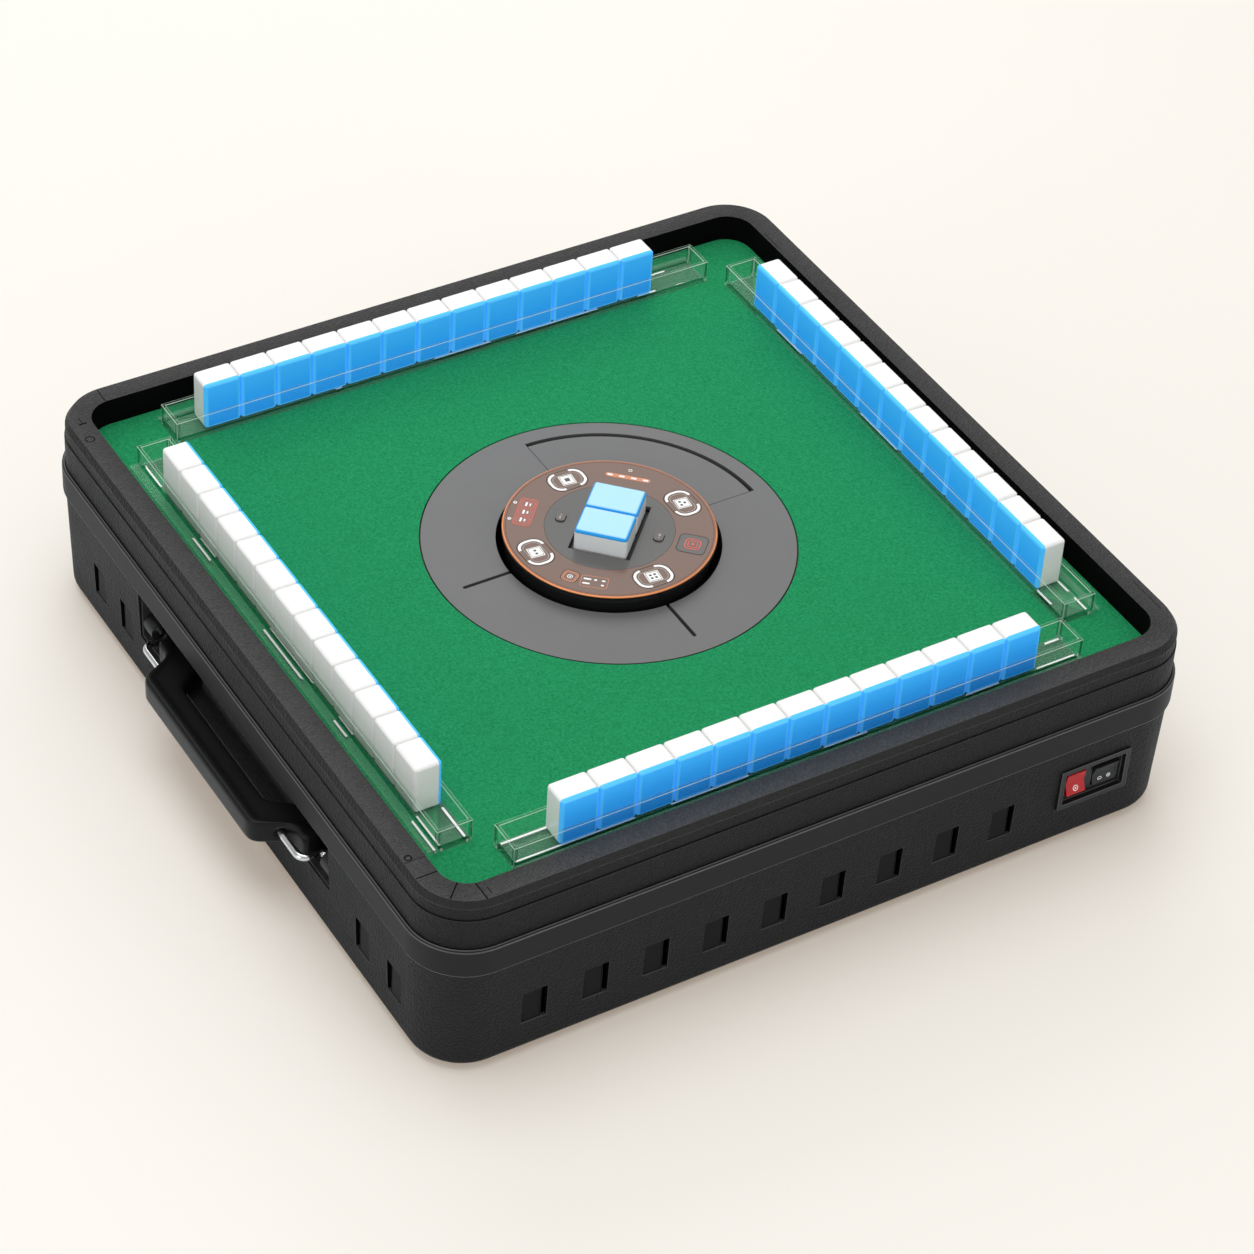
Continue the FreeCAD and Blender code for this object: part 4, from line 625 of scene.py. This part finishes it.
rocker_red = satin("rocker_red", (0.5, 0.006, 0.01), 0.24, 0.04, Specular_IOR_Level=0.35)
wire_chrome = satin("wire_chrome", (0.75, 0.75, 0.77), 0.12, 0.05, 2500.0, 0.00001, Metallic=1.0)
plated_steel = satin("plated_steel", (0.55, 0.55, 0.57), 0.3, 0.1, 800.0, 0.00005, Metallic=1.0)
foot_rubber = satin("foot_rubber", (0.012, 0.012, 0.012), 0.85, 0.06, 1500.0, 0.0002)
inner_black = satin("inner_black", (0.02, 0.02, 0.022), 0.5, 0.08)
acetal = satin("acetal", (0.62, 0.62, 0.58), 0.35, 0.08)
motor_grey = satin("motor_grey", (0.05, 0.05, 0.055), 0.45, 0.1)
board_green = satin("board_green", (0.01, 0.12, 0.05), 0.35, 0.08)
shade_dark_board = fibreboard()
print("remaining finishes mixed")

# %% [markdown]
# ## Softened mouldings
#
# A solid straight from CAD has knife edges, and a real moulding never does: its edges catch
# a thin line of light. Each moulding is copied, its triangles are joined back into whole
# faces, and every sharp edge gets a small bevel. On the case these bevels get a paler
# plastic, a painted highlight, so that they shine. Weighted normals keep the large faces flat.

# %% Write the helpers that turn a solid into a softened piece
body_of_node = {
    node: body for body, nodes in frame["record"]["behaviour"]["bodies"].items() for node in nodes
}
SHARP = math.radians(32)
SHADED_SHARP = math.radians(50)
FLAT_WITHIN = math.radians(0.4)
WELD = 0.001 * MM
ROOM_SHARE = 2.2
EDGE_SLOT = 1


def finish_piece(name, shape, material, node, replaces=True):
    """Turns a bmesh into a piece that rides with the node's body."""
    mesh = bpy.data.meshes.new(name)
    shape.to_mesh(mesh)
    shape.free()
    mesh.materials.append(material)
    for face in mesh.polygons:
        face.use_smooth = True
    mesh.set_sharp_from_angle(angle=SHADED_SHARP)
    piece = bpy.data.objects.new(name, mesh)
    bpy.context.collection.objects.link(piece)
    weigh = piece.modifiers.new("even_normals", "WEIGHTED_NORMAL")
    weigh.keep_sharp = True
    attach(piece, body_of_node[node])
    if replaces:
        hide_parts(node)
    return piece


def whole_faces(node):
    """A copy of a solid, with its triangles joined back into whole flat faces."""
    shape = bmesh.new()
    shape.from_mesh(frame["nodes"][node].data)
    bmesh.ops.remove_doubles(shape, verts=shape.verts, dist=WELD)
    bmesh.ops.dissolve_limit(
        shape, angle_limit=FLAT_WITHIN, verts=shape.verts, edges=shape.edges
    )
    return shape


def room(face):
    """About the width of a face, so that no bevel is laid where it would swallow the face."""
    return 2 * face.calc_area() / face.calc_perimeter()


def softened(node, name, finishes, width, segments=2, zone=None, adjust=None):
    """A copy of a solid with its sharp edges bevelled to a width in millimetres.

    Its faces take the first finish and its bevels the second, if there is one. A zone
    function picks the finish of each face among them, and an adjust function changes the
    shape before the bevels are laid.
    """
    shape = whole_faces(node)
    if zone is not None:
        for face in shape.faces:
            face.material_index = finishes.index(zone(face))
    if adjust is not None:
        adjust(shape)
    sharp = []
    for edge in shape.edges:
        if edge.is_manifold and edge.calc_face_angle() > SHARP:
            if min(room(face) for face in edge.link_faces) > ROOM_SHARE * width * MM:
                sharp.append(edge)
    bevel = bmesh.ops.bevel(
        shape, geom=sharp, offset=width * MM, segments=segments, profile=0.5,
        affect="EDGES", clamp_overlap=True, material=-1,
    )
    if len(finishes) > 1:
        for face in bevel["faces"]:
            face.material_index = EDGE_SLOT
    piece = finish_piece(name, shape, finishes[0], node)
    for finish in finishes[1:]:
        piece.data.materials.append(finish)
    return piece


print("helpers for softened pieces are ready")

# %% [markdown]
# ## Zones of the case
#
# One moulding can show several surfaces: the rim has leather grain on top, a chamfer painted
# a little lighter as painted light, a groove painted black as painted shade and plain walls.
# A zone function looks at where a face lies and which way it looks, and names its finish,
# which is quicker and safer than picking hundreds of faces by hand. The louvres also get a
# fine line of painted shade round their floors, and the ring's hole comes closer to the
# console, as on the real table.

# %% Sort the faces into zones
LEVEL = 0.9
SLOPING = 0.3
SQUARE_ON = 0.9999
GROOVE = (144.4 * MM, 145.6 * MM)
LOUVRES = (28.5 * MM, 61.0 * MM)
WALL_REACH = 290.0 * MM
LOUVRE_FLOOR_LEAST = 250 * MM * MM
LOUVRE_FLOOR_MOST = 900 * MM * MM
LOUVRE_LINE = 1.1 * MM
RING_LIP_WITHIN = 87.0 * MM
RING_LIP = 83.2 * MM
rim_finishes = [rim_plastic, painted_highlight, wall_plastic, shade_and_joint_black, chamfer_lit_plastic]
belt_finishes = [belt_plastic, painted_highlight, shade_and_joint_black]
shell_finishes = [wall_plastic, painted_highlight, shade_and_joint_black, louvre_shade]


def rim_zone(face):
    """Leather grain on top, a chamfer in painted light, a groove in painted shade, plain walls."""
    level = face.calc_center_median().z
    if face.normal.z > LEVEL and level > RIM_TOP - MM:
        return rim_plastic
    if face.normal.z > SLOPING:
        return chamfer_lit_plastic
    if GROOVE[0] < level < GROOVE[1]:
        return shade_and_joint_black
    return wall_plastic


def belt_zone(face):
    """The ledge on top of the belt lies in the shade of the seam."""
    return shade_and_joint_black if face.normal.z > LEVEL else belt_plastic


def shell_zone(face):
    """Painted shade on each louvre's floor and cheeks, and a painted highlight on its sill."""
    middle = face.calc_center_median()
    outside = max(abs(middle.x), abs(middle.y)) > WALL_REACH
    square_on = max(abs(part) for part in face.normal) > SQUARE_ON
    if not outside or not square_on or not LOUVRES[0] < middle.z < LOUVRES[1]:
        return wall_plastic
    area = face.calc_area()
    if area > LOUVRE_FLOOR_MOST:
        return wall_plastic
    if face.normal.z > LEVEL:
        return painted_highlight
    return louvre_shade if area > LOUVRE_FLOOR_LEAST else shade_and_joint_black


def outline_louvres(shape):
    """Lays a fine line of painted shade round each louvre's floor, where it meets its cheeks."""
    floor_slot = shell_finishes.index(louvre_shade)
    floors = [face for face in shape.faces if face.material_index == floor_slot]
    border = bmesh.ops.inset_individual(
        shape, faces=floors, thickness=LOUVRE_LINE, use_even_offset=True
    )
    for face in border["faces"]:
        face.material_index = shell_finishes.index(shade_and_joint_black)


def narrow_gap(shape):
    """Brings the lip of the ring's hole closer to the console."""
    for vert in shape.verts:
        reach = vert.co.xy.length
        if reach < RING_LIP_WITHIN:
            vert.co.xy *= RING_LIP / reach


print("zones are ready")

# %% [markdown]
# ## The mouldings
#
# Large mouldings have larger radii than thin plates, so each piece has its own bevel width.
# The grip is one round body with no edge left in it. Bevels can't blend its lugs into its
# bead, so it is remeshed evenly and smoothed until they flow together.

# %% Soften the mouldings
GRIP_VOXEL = 1.2 * MM
GRIP_PASSES = 30
softened("top_frame", "rim_moulding", rim_finishes, 0.7, 3, rim_zone)
softened("collar", "belt_moulding", belt_finishes, 0.6, 3, belt_zone)
softened("base_shell", "shell_moulding", shell_finishes, 0.3, 2, shell_zone, outline_louvres)
softened("base_floor", "floor_moulding", [wall_plastic], 0.4)
softened("handle_recess", "recess_liner", [recess_lit_plastic], 0.4)
grip = softened("handle_grip", "grip_moulding", [handle_plastic], 0.4)
even_faces = grip.modifiers.new("even_faces", "REMESH")
even_faces.mode = "VOXEL"
even_faces.voxel_size = GRIP_VOXEL
even_faces.use_smooth_shade = True
rounding = grip.modifiers.new("rounding", "SMOOTH")
rounding.factor = 0.5
rounding.iterations = GRIP_PASSES
grip.modifiers.move(0, len(grip.modifiers) - 1)
softened("handle_bracket_back", "knuckle_back", [smooth_black], 0.8)
softened("handle_bracket_front", "knuckle_front", [smooth_black], 0.8)
softened("centre_ring", "ring_moulding", [ring_grey], 0.3, adjust=narrow_gap)
softened("feed_hatch", "hatch_plate", [ring_grey], 0.3, adjust=narrow_gap)
softened("console_housing", "console_cup", [console_black], 0.5)
softened("console_trim", "console_edge", [copper_edge], 0.3)
softened("console_panel", "console_face", [brown_gloss], 0.15)
softened("inner_panel", "console_disc", [disc_grey], 0.15)
softened("switch_bezel", "switch_frame", [smooth_black, painted_highlight], 0.5)
softened("power_rocker", "red_rocker", [rocker_red], 0.6)
softened("mode_rocker", "black_rocker", [smooth_black], 0.6)
softened("power_inlet", "inlet_socket", [smooth_black], 0.3)
for side in ("back", "left", "front", "right"):
    softened("rack_" + side, "clear_rack_" + side, [rack_acrylic, rack_edge_glow], 0.4)
print("softened mouldings made")

# %% [markdown]
# ## Finishes for solids that keep their shape
#
# The other solids are right as they are, so each one only has its material changed.

# %% Give the kept solids their finish
kept_finishes = {
    "table_board": shade_dark_board, "centre_column": inner_black,
    "lift_platform": inner_black, "lift_screw": plated_steel, "lift_motor": motor_grey,
    "mixing_drum": inner_black, "drum_gear": acetal, "drum_pinion": acetal,
    "drum_bearing": acetal, "drum_motor": motor_grey, "motor_shaft": plated_steel,
    "control_board": board_green, "power_supply": motor_grey, "case_screws": plated_steel,
    "rubber_feet": foot_rubber, "power_switch_body": motor_grey, "mode_switch_body": motor_grey,
    "handle_wire_back": wire_chrome, "handle_wire_front": wire_chrome,
    "key_front": brown_gloss, "key_right": brown_gloss, "key_back": brown_gloss,
    "key_left": brown_gloss, "start_key": key_grey, "dice_key": brown_gloss,
    "button_left": key_grey, "button_right": key_grey,
}
for node, material in kept_finishes.items():
    solid = frame["nodes"][node]
    solid.data.materials.clear()
    solid.data.materials.append(material)
print(len(kept_finishes), "solids finished")

# %% [markdown]
# ## The felt sheet
#
# The cloth is cut to a square with round corners and a round hole that leaves a dark gap
# round the ring. It is 2 mm thick and lies glued on its board, so it has no folds. The
# outer edge and the hole are two loops, and bridging them makes the sheet in one step.

# %% Cut the felt
FELT_HALF = 287.4 * MM
FELT_CORNER = 21.0 * MM
FELT_HOLE = 139.2 * MM
BOARD_TOP = 136.0 * MM
FELT_THICKNESS = 2.0 * MM
CORNER_STEPS = 10
HOLE_STEPS = 120


def thicken(shape, offset):
    """Gives a flat shape a thickness by raising a copy of its faces."""
    bmesh.ops.recalc_face_normals(shape, faces=shape.faces)
    copied = bmesh.ops.extrude_face_region(shape, geom=shape.faces[:])
    raised = [item for item in copied["geom"] if isinstance(item, bmesh.types.BMVert)]
    bmesh.ops.translate(shape, vec=offset, verts=raised)
    bmesh.ops.recalc_face_normals(shape, faces=shape.faces)


cloth = bmesh.new()
bmesh.ops.create_grid(cloth, x_segments=1, y_segments=1, size=FELT_HALF)
bmesh.ops.bevel(
    cloth, geom=cloth.verts[:], offset=FELT_CORNER, segments=CORNER_STEPS, profile=0.5,
    affect="VERTICES", material=-1,
)
bmesh.ops.delete(cloth, geom=cloth.faces[:], context="FACES_ONLY")
bmesh.ops.create_circle(cloth, cap_ends=False, segments=HOLE_STEPS, radius=FELT_HOLE)
bmesh.ops.bridge_loops(cloth, edges=cloth.edges[:])
sheet_area = sum(face.calc_area() for face in cloth.faces)
thicken(cloth, Vector((0, 0, FELT_THICKNESS)))
bmesh.ops.translate(cloth, vec=(0, 0, BOARD_TOP), verts=cloth.verts)
felt_sheet = finish_piece("felt_sheet", cloth, felt_green, "felt")
print("felt of", round(sheet_area, 4), "square metres cut")

# %% [markdown]
# ## Tiles
#
# A tile is pressed from two sheets, white in front and blue behind, and then tumbled until
# all its edges are round. So each tile starts as one bevelled block, which is cut along the
# colour line, and each row is that half tile repeated.

# %% Press the tiles
TILE = Vector((29.8, 21.0, 40.0)) * MM
BLUE = 2.8 * MM
PITCH = 30.0 * MM
ROW_COUNT = 13
ROUNDING = 2.6 * MM
ROUNDING_STEPS = 4


def half_tile(blue):
    """One colour of a tile that stands on z = 0 with its blue back towards -Y."""
    shape = bmesh.new()
    bmesh.ops.create_cube(shape, size=1.0)
    bmesh.ops.scale(shape, vec=TILE, verts=shape.verts)
    bmesh.ops.translate(shape, vec=(0, 0, TILE.z / 2), verts=shape.verts)
    rounded = bmesh.ops.bevel(
        shape, geom=shape.edges[:], offset=ROUNDING, segments=ROUNDING_STEPS, profile=0.5,
        affect="EDGES", material=-1,
    )
    for face in rounded["faces"]:
        face.material_index = EDGE_SLOT if blue else 0
    colour_line = Vector((0, -TILE.y / 2 + BLUE, 0))
    away = Vector((0, 1, 0)) if blue else Vector((0, -1, 0))
    cut_line = bmesh.ops.bisect_plane(
        shape, geom=shape.verts[:] + shape.edges[:] + shape.faces[:],
        plane_co=colour_line, plane_no=away, clear_outer=True,
    )
    open_edges = [item for item in cut_line["geom_cut"] if isinstance(item, bmesh.types.BMEdge)]
    bmesh.ops.contextual_create(shape, geom=open_edges)
    bmesh.ops.recalc_face_normals(shape, faces=shape.faces)
    return shape


def gathered(parts):
    """One shape out of several, each given with the matrix that sets it in place."""
    whole = bmesh.new()
    for part, place in parts:
        bmesh.ops.transform(part, matrix=place, verts=part.verts)
        mesh = bpy.data.meshes.new("part")
        part.to_mesh(mesh)
        part.free()
        whole.from_mesh(mesh)
        bpy.data.meshes.remove(mesh)
    return whole


def tile_row(blue, places):
    """The same half tile set down at each place."""
    return gathered([(half_tile(blue), place) for place in places])


print("tile shapes are ready")

# %% [markdown]
# ## Four rows
#
# Thirteen tiles stand upright in each rack, side by side with hardly a gap. Each row is laid
# along the back and then swung round the middle of the table, which needs only one set of
# places. The front row has its blue backs outwards, so its tiles are also turned about.

# %% Stand the rows in their racks
TILE_ORBIT = 256.0 * MM
ROWS = (
    ("back", 0, -12.0 * MM, False),
    ("left", 90, 0.0, False),
    ("front", 180, 0.0, True),
    ("right", 270, 0.0, False),
)
for side, degrees, shift, faces_out in ROWS:
    swing = Matrix.Rotation(math.radians(degrees), 4, "Z")
    about = Matrix.Rotation(math.pi if faces_out else 0.0, 4, "Z")
    places = []
    for index in range(ROW_COUNT):
        x = shift + (index - (ROW_COUNT - 1) / 2) * PITCH
        places.append(swing @ Matrix.Translation((x, TILE_ORBIT, STANDING[0])) @ about)
    finish_piece(
        "row_%s_white" % side, tile_row(False, places), tile_white, "tiles_%s_bodies" % side
    )
    backs = finish_piece(
        "row_%s_blue" % side, tile_row(True, places), tile_blue, "tiles_%s_backs" % side
    )
    backs.data.materials.append(glowing_blue_edge)
print(ROW_COUNT * len(ROWS), "standing tiles pressed")

# %% [markdown]
# ## Two tiles on the lift
#
# The lift brings up a pair of tiles, lying flat with their blue side up and turned like the
# window. They are the same half tiles, tipped over by two quarter turns.

# %% Lay the two tiles on the lift
LIFT_TURN = math.radians(-45)
PLATFORM_TOP = 144.5 * MM
lying = []
for side in (-1, 1):
    lying.append(
        Matrix.Rotation(LIFT_TURN, 4, "Z")
        @ Matrix.Translation((-TILE.z / 2, side * PITCH / 2, PLATFORM_TOP + TILE.y / 2))
        @ Matrix.Rotation(math.pi / 2, 4, "Y")
        @ Matrix.Rotation(-math.pi / 2, 4, "Z")
    )
finish_piece("lift_tiles_white", tile_row(False, lying), tile_white, "centre_tile_bodies")
lift_backs = finish_piece("lift_tiles_blue", tile_row(True, lying), tile_lit_top, "centre_tile_backs")
lift_backs.data.materials.append(tile_lit_top)
print("two tiles laid on the lift")

# %% [markdown]
# ## Printed marks
#
# The keys carry plain screen-printed marks: a frame of light arcs, a white square with pips
# and a few rings and bars. Ink has a thickness, about a twentieth of a millimetre, so each
# mark is a thin raised patch. Marks are drawn in millimetres round the origin, and a matrix
# lays them on their key at an orbit and an azimuth round the console.

# %% Draw the shapes of the marks
INK = 0.06
ROUND_STEPS = 6
UP = Vector((0, 0, 1))


def patch(width, height, corner):
    """A flat rectangle with round corners, drawn in millimetres."""
    shape = bmesh.new()
    bmesh.ops.create_grid(shape, x_segments=1, y_segments=1, size=0.5)
    bmesh.ops.scale(shape, vec=(width, height, 1), verts=shape.verts)
    bmesh.ops.bevel(
        shape, geom=shape.verts[:], offset=corner, segments=ROUND_STEPS, profile=0.5,
        affect="VERTICES", material=-1,
    )
    return shape


def frame_line(width, height, corner, thickness):
    """Only the border of such a rectangle."""
    shape = patch(width, height, corner)
    inside = shape.faces[:]
    bmesh.ops.inset_individual(shape, faces=inside, thickness=thickness, use_even_offset=True)
    bmesh.ops.delete(shape, geom=inside, context="FACES")
    return shape


def arcs(width, height, corner, thickness, gap):
    """The two ends of a border, with a gap in the middle of its long sides."""
    shape = frame_line(width, height, corner, thickness)
    for side in (-1, 1):
        bmesh.ops.bisect_plane(
            shape, geom=shape.verts[:] + shape.edges[:] + shape.faces[:],
            plane_co=(side * gap / 2, 0, 0), plane_no=(1, 0, 0),
        )
    middle = [face for face in shape.faces if abs(face.calc_center_median().x) < gap / 2]
    bmesh.ops.delete(shape, geom=middle, context="FACES")
    return shape


def lay_print(name, parts, material, node, outwards=UP):
    """Gives flat shapes the thickness of ink and lets them ride with the node's body."""
    shape = gathered(parts)
    thicken(shape, outwards * INK * MM)
    finish_piece(name, shape, material, node, replaces=False)


def on_console(node, azimuth, orbit, turn=0.0):
    """The matrix that lays a mark on a key: x runs round the console and y outwards."""
    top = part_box(node)[1].z
    return (
        Matrix.Rotation(math.radians(azimuth - 90), 4, "Z")
        @ Matrix.Translation((0, orbit * MM, top))
        @ Matrix.Rotation(math.radians(turn), 4, "Z")
        @ Matrix.Scale(MM, 4)
    )


def moved(x, y, layer=0):
    """A step inside a mark. The second layer, number 1, lies on the ink of the first."""
    return Matrix.Translation((x, y, layer * INK))


print("mark shapes are ready")

# %% [markdown]
# ## The player keys
#
# Each player has a key on the console. Between two arcs it has a white square, printed a
# little askew, and the pips on it tell the four keys apart. A size is width, height and
# corner, then the width of the line and, for the arcs, the gap between them.

# %% Print the four player keys
KEY_ORBIT = 62.2
KEY_SKEW = -6
PIP = (1.9, 1.9, 0.3)
LONE_PIP = (3.8, 3.8, 0.3)
ARCS = (28.8, 20.8, 8.6, 2.1, 12.0)
OUTER_SHADOW = (30.0, 22.0, 9.0, 0.35)
INNER_SHADOW = (23.4, 15.4, 6.2, 0.4)
INNER_FRAME = (22.2, 14.2, 5.6, 0.5)
SQUARE = (11.0, 11.0, 0.6)
SQUARE_FRAME = (9.6, 9.6, 0.4, 0.35)
PLAYER_KEYS = {
    "key_front": (-90, [(-1.7, -1.7), (1.7, -1.7), (-1.7, 1.7), (1.7, 1.7)]),
    "key_right": (0, [(-1.9, -1.5), (1.9, -1.5), (0, 1.8)]),
    "key_back": (90, [(0, 0)]),
    "key_left": (180, [(-1.8, 0), (1.8, 0)]),
}
for node, (azimuth, pips) in PLAYER_KEYS.items():
    flat_on = on_console(node, azimuth, KEY_ORBIT)
    skewed_on = on_console(node, azimuth, KEY_ORBIT, turn=KEY_SKEW)
    side = node.split("_")[1]
    lay_print("arcs_" + side, [(arcs(*ARCS), flat_on)], print_white, node)
    # The two thin dark frames round each key are painted shadow.
    thin = [(frame_line(*OUTER_SHADOW), flat_on), (frame_line(*INNER_SHADOW), flat_on)]
    lay_print("shadow_" + side, thin, key_shadow, node)
    lay_print("inner_" + side, [(frame_line(*INNER_FRAME), flat_on)], print_pale, node)
    lay_print("square_" + side, [(patch(*SQUARE), skewed_on)], print_white, node)
    pip = PIP if len(pips) > 1 else LONE_PIP
    marks = [(patch(*pip), skewed_on @ moved(x, y, 1)) for x, y in pips]
    marks.append((frame_line(*SQUARE_FRAME), skewed_on @ moved(0, 0, 1)))
    lay_print("pips_" + side, marks, print_dark, node)
print(len(PLAYER_KEYS), "player keys printed")

# %% [markdown]
# ## The small keys
#
# The start key has red rings, the dice key orange rings and a white dot, and the two oval
# buttons a pale bar and a dot. A ring is a small frame with large corners.

# %% Print the start key, the dice key and the oval buttons
start_place = on_console("start_key", -45, 62.5)
lay_print("start_rings", [
    (frame_line(12.0, 12.0, 3.7, 1.0), start_place),
    (frame_line(7.6, 7.6, 2.4, 0.8), start_place),
    (patch(2.6, 2.6, 0.9), start_place),
], print_red, "start_key")
# A thin dark frame round the start key is painted shadow.
start_edge = [(frame_line(20.6, 20.6, 3.9, 0.35), start_place)]
lay_print("start_edge", start_edge, key_shadow, "start_key")
dice_place = on_console("dice_key", -147, 64.0)
lay_print("dice_rings", [
    (frame_line(11.2, 11.2, 3.2, 0.7), dice_place),
    (frame_line(8.6, 8.6, 2.5, 0.4), dice_place),
], print_orange, "dice_key")
lay_print("dice_dot", [
    (frame_line(4.2, 4.2, 2.0, 0.55), dice_place),
    (patch(1.3, 1.3, 0.4), dice_place),
], print_white, "dice_key")
for node, azimuth in (("button_left", 135), ("button_right", -45)):
    place = on_console(node, azimuth, 37.0)
    marks = [
        (patch(2.4, 1.6, 0.6), place @ moved(-1.4, 0.3)),
        (patch(1.0, 1.0, 0.3), place @ moved(1.5, 0.3)),
    ]
    lay_print(node + "_mark", marks, print_pale, node)
print("small keys printed")

# %% [markdown]
# ## The panel
#
# Between the keys the panel carries an orange strip with four bars, a red group of three
# boxes and an orange frame with small bars. Lines on a filled patch are printed second, so
# they lie one layer of ink higher and never share a plane with the patch.

# %% Print the marks on the panel between the keys
PANEL = "console_panel"
STRIP_AZIMUTH = 46.8
STRIP_STEP = 9.0
strip_place = on_console(PANEL, STRIP_AZIMUTH, 60.6)
lay_print("strip_orange", [(patch(34.0, 4.2, 2.0), strip_place)], print_orange, PANEL)
strip_marks = [(frame_line(3.0, 3.0, 1.4, 0.55), on_console(PANEL, STRIP_AZIMUTH, 69.3))]
for step in (-1.5, -0.5, 0.5, 1.5):
    strip_marks.append((patch(4.2, 1.9, 0.6), strip_place @ moved(STRIP_STEP * step, 0, 1)))
lay_print("strip_white", strip_marks, print_white, PANEL)

GROUP_STEP = 9.2
group_place = on_console(PANEL, 137, 63.5)
lay_print("group_fill", [(patch(31.0, 12.6, 2.4), group_place)], print_rust, PANEL)
group_lines = [(frame_line(32.0, 13.6, 2.8, 0.6), group_place @ moved(0, 0, 1))]
group_marks = []
for step in (-1, 0, 1):
    spot = group_place @ moved(GROUP_STEP * step, 0, 1)
    group_lines.append((frame_line(8.0, 10.2, 2.2, 0.4), spot))
    group_marks.append((patch(4.6, 1.5, 0.5), spot @ moved(0, 1.3)))
    group_marks.append((patch(3.0, 1.1, 0.4), spot @ moved(0, -1.6)))
for azimuth in (130, 145):
    group_marks.append((frame_line(2.8, 2.8, 1.3, 0.8), on_console(PANEL, azimuth, 73.8)))
lay_print("group_red", group_lines, print_red, PANEL)
lay_print("group_white", group_marks, print_white, PANEL)

CORNER_BARS = (
    (-6.4, 2.6, 2.2), (5.6, 2.6, 5.4), (-6.4, -2.4, 2.6), (-0.6, -2.4, 2.2), (5.4, -2.4, 5.6),
)
corner_place = on_console(PANEL, -130.5, 63.6)
lay_print("corner_orange", [(frame_line(20.0, 12.6, 1.8, 0.4), corner_place)], print_orange, PANEL)
corner_marks = []
for x, y, width in CORNER_BARS:
    corner_marks.append((patch(width, 1.7, 0.5), corner_place @ moved(x, y)))
lay_print("corner_white", corner_marks, print_white, PANEL)
print("panel printed")

# %% [markdown]
# ## The rim's joints
#
# The rim's leather strip is laid round the case in lengths. Its joints show as fine dark
# lines across it near the corners, with a few shallow marks from the mould beside them.
# They are drawn like the printed marks, as thin strips of a black that takes no light.

# %% Draw the joints and the mould marks
RIM_MIDDLE = 296.3
RIM_CORNER = 266.5
JOINT = 16.0


def on_rim(x, y, turn=0.0):
    """The matrix that lays a mark on the rim's top, from its place in millimetres."""
    return (
        Matrix.Translation(Vector((x, y, RIM_TOP / MM)) * MM)
        @ Matrix.Rotation(math.radians(turn), 4, "Z")
        @ Matrix.Scale(MM, 4)
    )


ARC_CORNER = RIM_CORNER + (RIM_MIDDLE - RIM_CORNER) * math.cos(math.radians(45))
joints = [
    (patch(JOINT, 0.9, 0.1), on_rim(-RIM_MIDDLE, -RIM_CORNER)),
    (patch(JOINT, 0.9, 0.1), on_rim(-RIM_CORNER - 5, -RIM_MIDDLE, 90)),
    (patch(JOINT, 0.9, 0.1), on_rim(-ARC_CORNER, -ARC_CORNER, 45)),
    (patch(JOINT, 0.6, 0.1), on_rim(-RIM_CORNER - 2, RIM_MIDDLE, 90)),
    (patch(JOINT, 0.4, 0.1), on_rim(-RIM_MIDDLE, -250.3)),
    (patch(7.0, 0.4, 0.1), on_rim(-RIM_CORNER, -298, 90)),
    (patch(24.0, 0.4, 0.1), on_rim(290.5, 240, 90)),
    (patch(34.0, 0.4, 0.1), on_rim(299.5, -253, 90)),
    (patch(6.5, 1.4, 0.4), on_rim(-295.2, 270.5)),
    (patch(8.0, 0.6, 0.2), on_rim(-295.2, 274.5, 90)),
    (frame_line(5.4, 5.4, 2.6, 0.8), on_rim(-299.6, -246.8)),
    (frame_line(7.4, 7.4, 3.6, 0.8), on_rim(-298.0, 251.5)),
]
lay_print("rim_joints", joints, shade_and_joint_black, "top_frame")
print(len(joints), "joints and marks drawn on the rim")

# %% [markdown]
# ## Marks on the rockers
#
# A rocker's face is tilted, so its mark can't be laid on a level plane. The largest flat
# face that looks outwards and a little up is found on the solid itself, and the matrix is
# built from that face's middle and normal.

# %% Print the rockers
ROCKER_FACE = Vector((0, -0.9, 0.45))
ROCKER_SIDE = 3.9


def on_face(node, towards):
    """The place of the largest flat face of a solid that looks one way, and its normal."""
    shape = whole_faces(node)
    face = max(shape.faces, key=lambda item: item.calc_area() * max(0.0, item.normal.dot(towards)))
    middle = face.calc_center_median()
    normal = face.normal.copy()
    shape.free()
    turn = normal.to_track_quat("Z", "Y").to_matrix().to_4x4()
    return Matrix.Translation(middle) @ turn @ Matrix.Scale(MM, 4), normal


place, normal = on_face("power_rocker", ROCKER_FACE)
marks = [(frame_line(4.6, 4.6, 2.2, 0.6), place), (patch(1.5, 1.5, 0.6), place)]
lay_print("power_rocker_mark", marks, print_white, "power_rocker", outwards=normal)
print("power_rocker faces", [round(value, 2) for value in normal])

place, normal = on_face("mode_rocker", ROCKER_FACE)
marks = [
    (frame_line(3.6, 2.6, 1.2, 0.5), place @ moved(-ROCKER_SIDE, 0)),
    (frame_line(3.2, 3.2, 1.5, 0.5), place @ moved(ROCKER_SIDE, 0)),
    (patch(1.0, 1.0, 0.2), place @ moved(ROCKER_SIDE, 0)),
]
lay_print("mode_rocker_mark", marks, print_white, "mode_rocker", outwards=normal)
print("mode_rocker faces", [round(value, 2) for value in normal])
